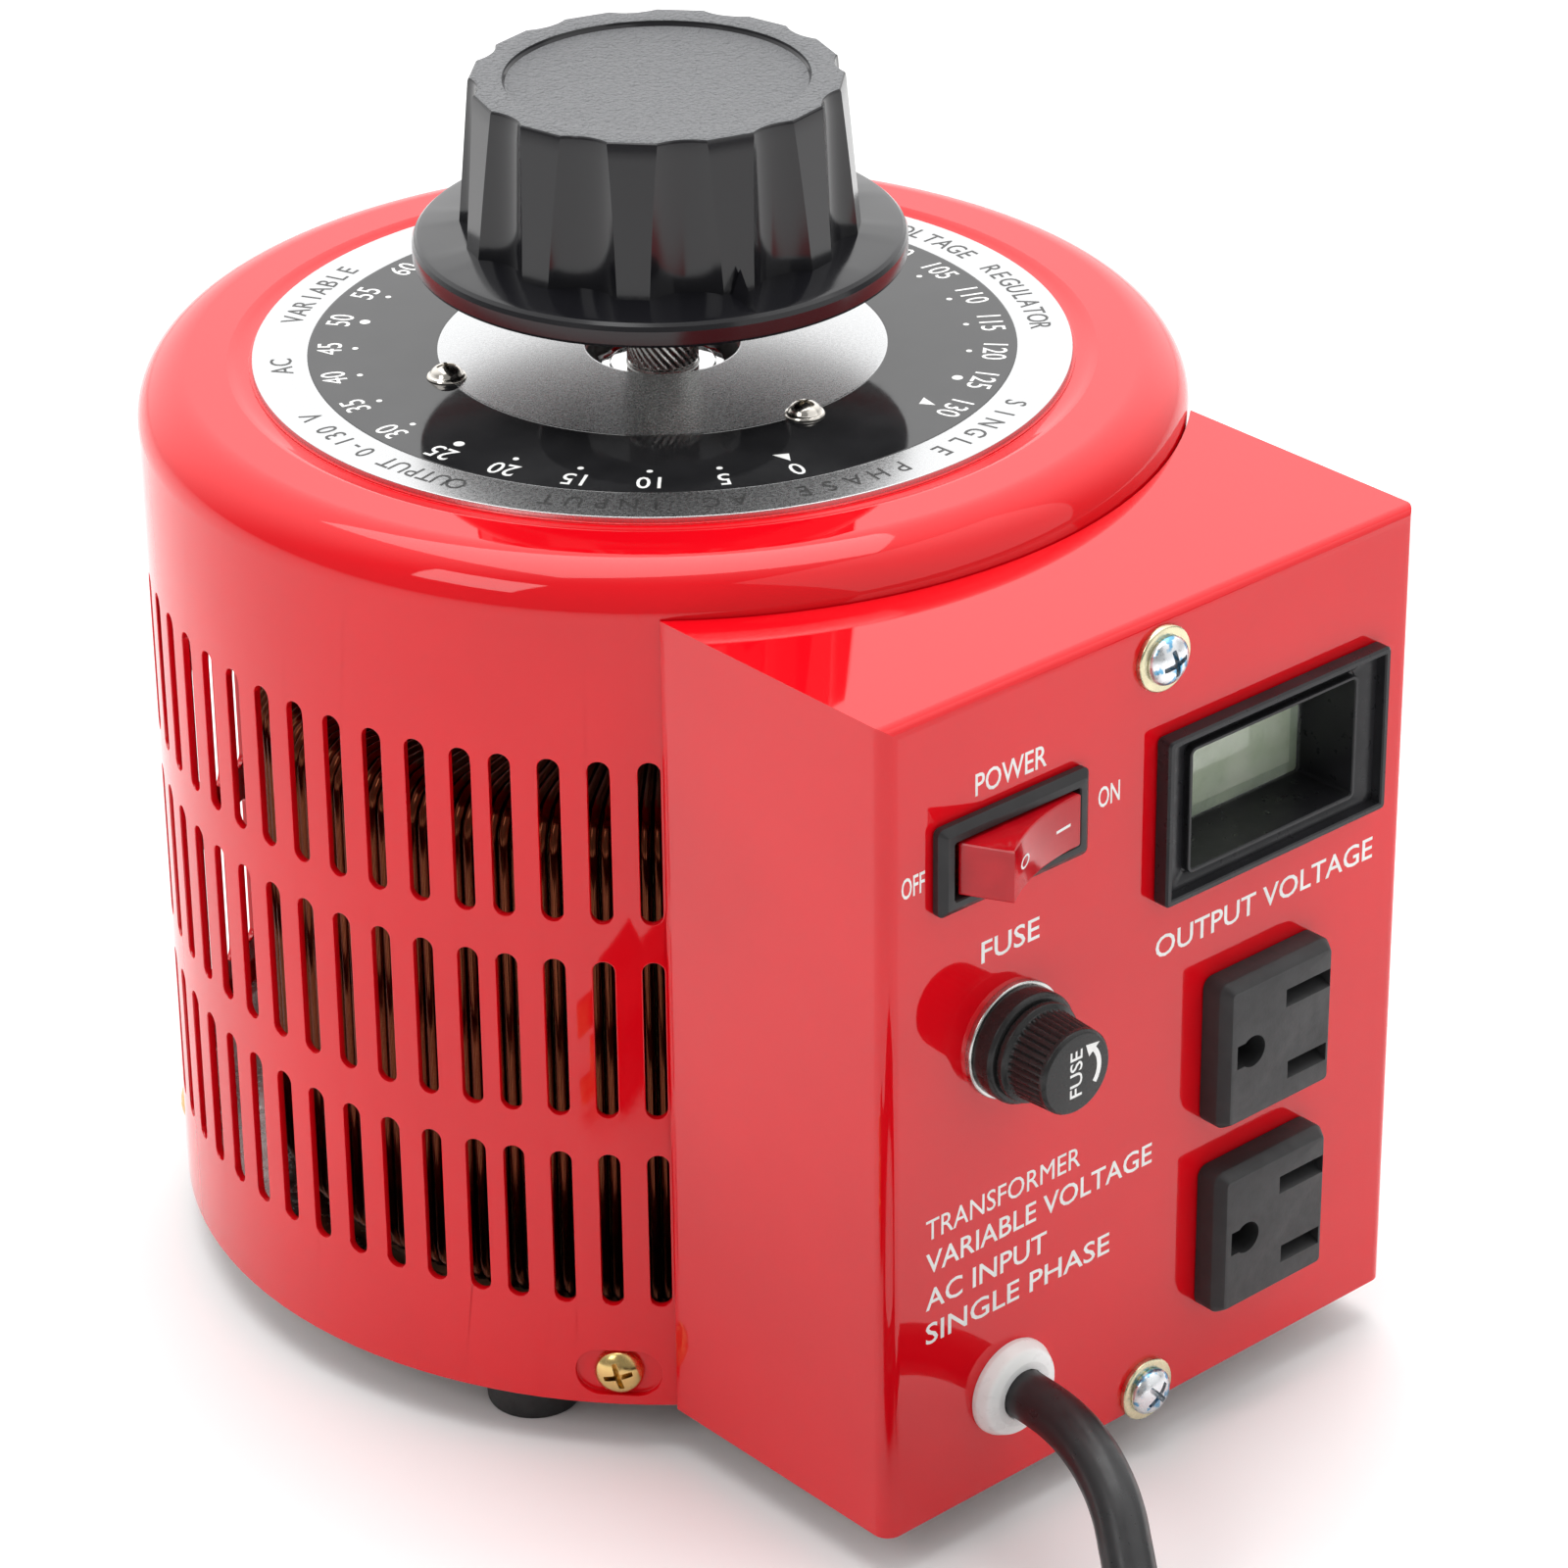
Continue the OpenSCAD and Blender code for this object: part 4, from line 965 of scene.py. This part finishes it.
def rocker_piece():
    """The rocker drawn about its pivot: a dished face, sloping ends and a pin."""
    xs = [-ROCKER_HALF + 2 * ROCKER_HALF * k / 16 for k in range(17)]
    end = ROCKER_HALF + 1.5
    outline = [(-6, -5), (-end, -0.8)] + [(x, rocker_face(x)) for x in xs] + [(end, -0.8), (6, -5)]
    rings = []
    for y, shrink in ((-ROCKER_HALF_WIDE, 0.35), (-ROCKER_HALF_WIDE + 0.12, 0.12),
                      (-ROCKER_HALF_WIDE + 0.35, 0.0), (ROCKER_HALF_WIDE - 0.35, 0.0),
                      (ROCKER_HALF_WIDE - 0.12, 0.12), (ROCKER_HALF_WIDE, 0.35)):
        rings.append([(x * (1 - shrink / 9), y, z * (1 - shrink / 9)) for x, z in outline])
    body = loft("rocker_body", rings, sharp=30)
    pin_r, pin_half = 1.2, 5.3
    pin = lathe("pivot", [(0, -pin_half, 0), (pin_r, -pin_half, 0.2), (pin_r, pin_half, 0.2),
                          (0, pin_half, 0)], 24)
    pin.data.transform(FACE_OUT)
    return join("rocker_moulding", [body, pin], 30)


# ---- fuse holder

def make_fuse():
    """Collar and knurled screw cap of the fuse holder."""
    at_x, at_z = fit_of("fuse_washer")[:2]
    collar = lathe("fuse_collar", [
        (5.2, 4.6, 0.2), (8.3, 4.62, 0.5), (8.7, 4.0, 0.3), (8.7, 1.05, 0.1), (6.3, 1.05, 0),
        (6.3, -26, 0.3), (3, -26, 0.1), (3, -28, 0.3), (0, -28, 0), (0, -25, 0), (5.2, -25, 0),
    ], closed=True)
    finish_piece(stand_on_panel(collar, at_x, at_z), "black_plastic", nodes=["fuse_body"],
                 look=FUSE_BLACK)
    tip = fit_of("fuse_cap")[4]
    grip_low, grip_high, ribs = 6.55, tip - 1.2, 36

    def knurl(angle, r, z):
        if r < 6.0 or not 6.5 < z < tip - 1.1:
            return r
        return r - 0.4 * (0.5 + 0.5 * math.cos(angle * ribs)) ** 2

    wall = [(6.95 - 0.3 * k / 8, grip_low + (grip_high - grip_low) * k / 8, 0) for k in range(9)]
    cap = lathe("fuse_cap_moulding", [
        (0, -3.2, 0), (3.25, -3.2, 0), (4.9, -3.2, 0.3), (4.9, 4.75, 0.1), (7.7, 4.75, 0.35),
        (7.75, 6.0, 0.35), (7.0, 6.35, 0.15), *wall, (6.62, tip - 1.1, 0), (6.6, tip - 0.5, 0.3),
        (6.2, tip, 0.3), (0, tip, 0)], 8 * ribs, radius_of=knurl, sharp=40)
    finish_piece(stand_on_panel(cap, at_x, at_z), "black_plastic", "fuse_cap", ["fuse_cap"],
                 FUSE_BLACK)
    text = letters("cap_text", "FUSE", 2.3, 7.6, 0.008)
    text.data.transform(Matrix.Translation((0.9 * MM, 0, 0)) @ Matrix.Rotation(math.pi / 2, 4, "Z"))
    arrow = curved_arrow(4.3, -38, 40, 0.42)
    for mark in (text, arrow):
        stand_on_panel(mark, at_x, at_z, tip * MM)
    finish_piece(join("fuse_cap_marks", [text, arrow]), "dial_print", "fuse_cap", look=WHITE_INK)


def curved_arrow(radius, start, end, half):
    """An arc with an arrow head at its end, flat, angles in degrees, in mm."""
    def at(r, angle):
        return r * math.cos(math.radians(angle)), r * math.sin(math.radians(angle))

    barb, angles = 3.2 * half, [start + (end - start) * k / 14 for k in range(15)]
    outline = [at(radius + half, a) for a in angles]
    outline += [at(radius + barb, end), at(radius, end + 28), at(radius - barb, end)]
    outline += [at(radius - half, a) for a in reversed(angles)]
    return prism("arrow", outline)


# ---- outlets, grommet, washers

def make_outlets():
    """Two grounded outlets: bevelled, with a D-shaped ground hole and two unequal slots."""
    for name in ("outlet_upper", "outlet_lower"):
        at_x, at_z, wide, tall, out = fit_of(name)
        body = loft("outlet", slab_rings(wide, tall, 1.9, [
            (1.1, -15), (1.1, 0.02), (0.15, 0.02), (0, 0.2), (0, out - 1.9), (0.1, out - 1.65),
            (1.1, out - 0.18), (1.25, out - 0.04), (1.45, out)]), sharp=30)
        cutters = []
        for x0, x1, y0, y1 in ((0.9, 10.4, 4.85, 7.85), (1.7, 10.0, -7.85, -4.85)):
            cutters.append(prism("slot", rectangle(x0, x1, y0 + 1.1, y1), -12, 30))
            cutters.append(loft("mouth", [ring_at(rectangle(x0, x1, y0 + rise, y1), z)
                                          for z, rise in ((out - 2.6, 1.2), (out + 0.1, -0.1))]))
        ground_r, ground_flat, ground_x = 2.6, -1.7, -6
        round_hole = [ground_r * Vector((math.cos(k * math.tau / 48), math.sin(k * math.tau / 48)))
                      for k in range(48)]
        flat_sided = [(max(p.x, ground_flat) + ground_x, p.y) for p in round_hole]
        cutters.append(prism("ground", flat_sided, -12, 30))
        cutters.append(prism("notch", rectangle(-9.3, ground_x, -2, 2), out - 2.2, 30))
        stand_on_panel(cut(body, cutters), at_x, at_z)
        body.name = body.data.name = name + "_face"
        finish_piece(body, "black_plastic", nodes=[name], look=OUTLET_BLACK)


def make_grommet():
    """The cord's white bushing, a domed collar with a sleeve through the panel."""
    at_x, at_z, _, _, out = fit_of("cord_grommet")
    collar = lathe("grommet_moulding", [
        (4.02, out, 0.35), (5.2, out, 0.3), (6.9, out - 0.55, 1.2), (7.75, 0.8, 0.5),
        (7.8, 0.02, 0.1), (6, 0.02, 0.1), (6, -3, 0.1), (5, -19.5, 0.3), (4.02, -19.5, 0.3)],
        closed=True, fillet_steps=5)
    finish_piece(stand_on_panel(collar, at_x, at_z), "white_nylon", nodes=["cord_grommet"])


def washer(name, inner, outer, high, edge, segments):
    """A flat washer with a rounded outer edge, its seat just off the panel."""
    return lathe(name, [(inner, 0.02, 0), (inner, high, 0.1), (outer, high, edge),
                        (outer, 0.02, 0.1)], segments, closed=True)


def make_washers():
    """The two panel screws' washers, and the fuse holder's."""
    rings = [stand_on_panel(washer("ring", 2.1, 5.1, 0.92, 0.35, 72), 0, z)
             for z in screw_heights()]
    finish_piece(join("washer_rings", rings), "yellow_zinc", nodes=["panel_washers"])
    ring = stand_on_panel(washer("fuse_ring", 6.4, 9.2, 1.02, 0.3, 96), *fit_of("fuse_washer")[:2])
    finish_piece(ring, "plated_steel", nodes=["fuse_washer"])


# ---- CAD nodes that keep their shape

SOFTENED = {"control_box": 0.35, "rubber_feet": 0.5, "plug_body": 1.0, "cord_tie": 0.3}


def soften(node, width):
    """Rounds a CAD node's sharp edges by width in millimetres."""
    weld = node.modifiers.new("weld", "WELD")
    weld.merge_threshold = 1e-6
    bevel = node.modifiers.new("edges", "BEVEL")
    bevel.width = width * MM
    bevel.segments = 2
    bevel.limit_method = "ANGLE"
    bevel.angle_limit = math.radians(40)
    bevel.use_clamp_overlap = True


def make_shell():
    """The CAD shell with softened edges and the true normals of its cylinder and rolled rim."""
    shell = add_object("shell_can", frame["nodes"]["shell"].data.copy())
    soften(shell, 0.3)
    mesh = apply_modifiers(shell, 28)
    low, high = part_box("shell")
    top, outside = high.z, (high.x - low.x) / 2
    # The rim rolls over outside, and turns down in a small fillet at the dial's edge
    roll, dip_in, dip_out, dip_rise, same_way = 0.008, 0.0634, 0.0668, 0.0083, 0.97
    normals = [corner.vector.copy() for corner in mesh.corner_normals]
    for face in mesh.polygons:
        for corner in face.loop_indices:
            spot = mesh.vertices[mesh.loops[corner].vertex_index].co
            out = Vector((spot.x - shaft_at.x, spot.y - axis_y, 0))
            up = spot.z - (top - roll)
            if up > 0 and out.length > outside - roll:
                ideal = out.normalized() * (out.length - outside + roll) + Vector((0, 0, up))
            elif up > 0 and dip_in < out.length < dip_out:
                rise = Vector((0, 0, top + dip_rise - spot.z))
                ideal = out.normalized() * (dip_in - out.length) + rise
            elif up > 0:
                ideal = Vector((0, 0, 1))
            else:
                ideal = out
            ideal.normalize()
            match = ideal.dot(face.normal)
            if abs(match) > same_way:
                normals[corner] = ideal if match > 0 else -ideal
    mesh.normals_split_custom_set(normals)
    finish_piece(shell, "red_enamel", nodes=["shell"])


slot_of = {part["node"]: part["material_slot"] for part in frame["record"]["subparts"]}
for name, node in frame["nodes"].items():
    node.data.materials.clear()
    node.data.materials.append(BRIGHT_NICKEL if name == "top_bushing" else LOOKS[slot_of[name]])
    if name in SOFTENED:
        soften(node, SOFTENED[name])
        node.modifiers.new("normals", "WEIGHTED_NORMAL").keep_sharp = True


for make in (make_shell, make_knob, make_dial, make_screws, make_winding, make_nut, make_shaft,
             make_legends, make_meter, make_switch, make_fuse, make_outlets, make_grommet,
             make_washers):
    make()


# ---- studio

def make_studio():
    """A pale floor out of sight all round, a surround with one bright side, and soft lights."""
    corners = [(x, y, 0) for x, y in rectangle(-4, 4, -4, 4)]
    floor = mesh_piece("studio_floor", corners, [(0, 1, 2, 3)])
    look = Nodes("studio_floor", (0.94, 0.94, 0.94), 0.6, Specular_IOR_Level=0.2)
    look.rough(look.noise(30), 0.55, 0.65)
    floor.data.materials.append(look.material)
    scene.world = surround((0.42, 0.62, 0.66), 0.34, 1.6)
    centre = Vector((0, 0, 0.1))
    for name, place, size, power in (
        ("key", (0.55, -1.2, 1.0), 1.8, 7),
        ("top", (0.1, 0.3, 1.9), 1.6, 21),
        ("left", (-1.3, -0.1, 1.1), 0.6, 4),
    ):
        light = bpy.data.lights.new(name, "AREA")
        light.size, light.energy = size, power
        lamp = add_object(name, light)
        lamp.location = place
        lamp.rotation_euler = (centre - lamp.location).to_track_quat("-Z", "Y").to_euler()
    scene.view_settings.view_transform = "Standard"


def surround(towards, dim, bright):
    """A world that is dim all round and bright on the side that towards points to."""
    world = bpy.data.worlds.new("studio")
    world.use_nodes = True
    tree = world.node_tree
    place = add_node(tree, "TexCoord")
    along = add_node(tree, "VectorMath")
    along.operation = "DOT_PRODUCT"
    along.inputs[1].default_value = Vector(towards).normalized()
    tree.links.new(place.outputs["Generated"], along.inputs[0])
    amount = add_node(tree, "MapRange", From_Min=0.1, From_Max=0.9, To_Min=dim, To_Max=bright)
    amount.interpolation_type = "SMOOTHSTEP"
    tree.links.new(along.outputs["Value"], amount.inputs["Value"])
    back = tree.nodes["Background"]
    back.inputs["Color"].default_value = (1, 1, 1, 1)
    tree.links.new(amount.outputs["Result"], back.inputs["Strength"])
    return world


make_studio()
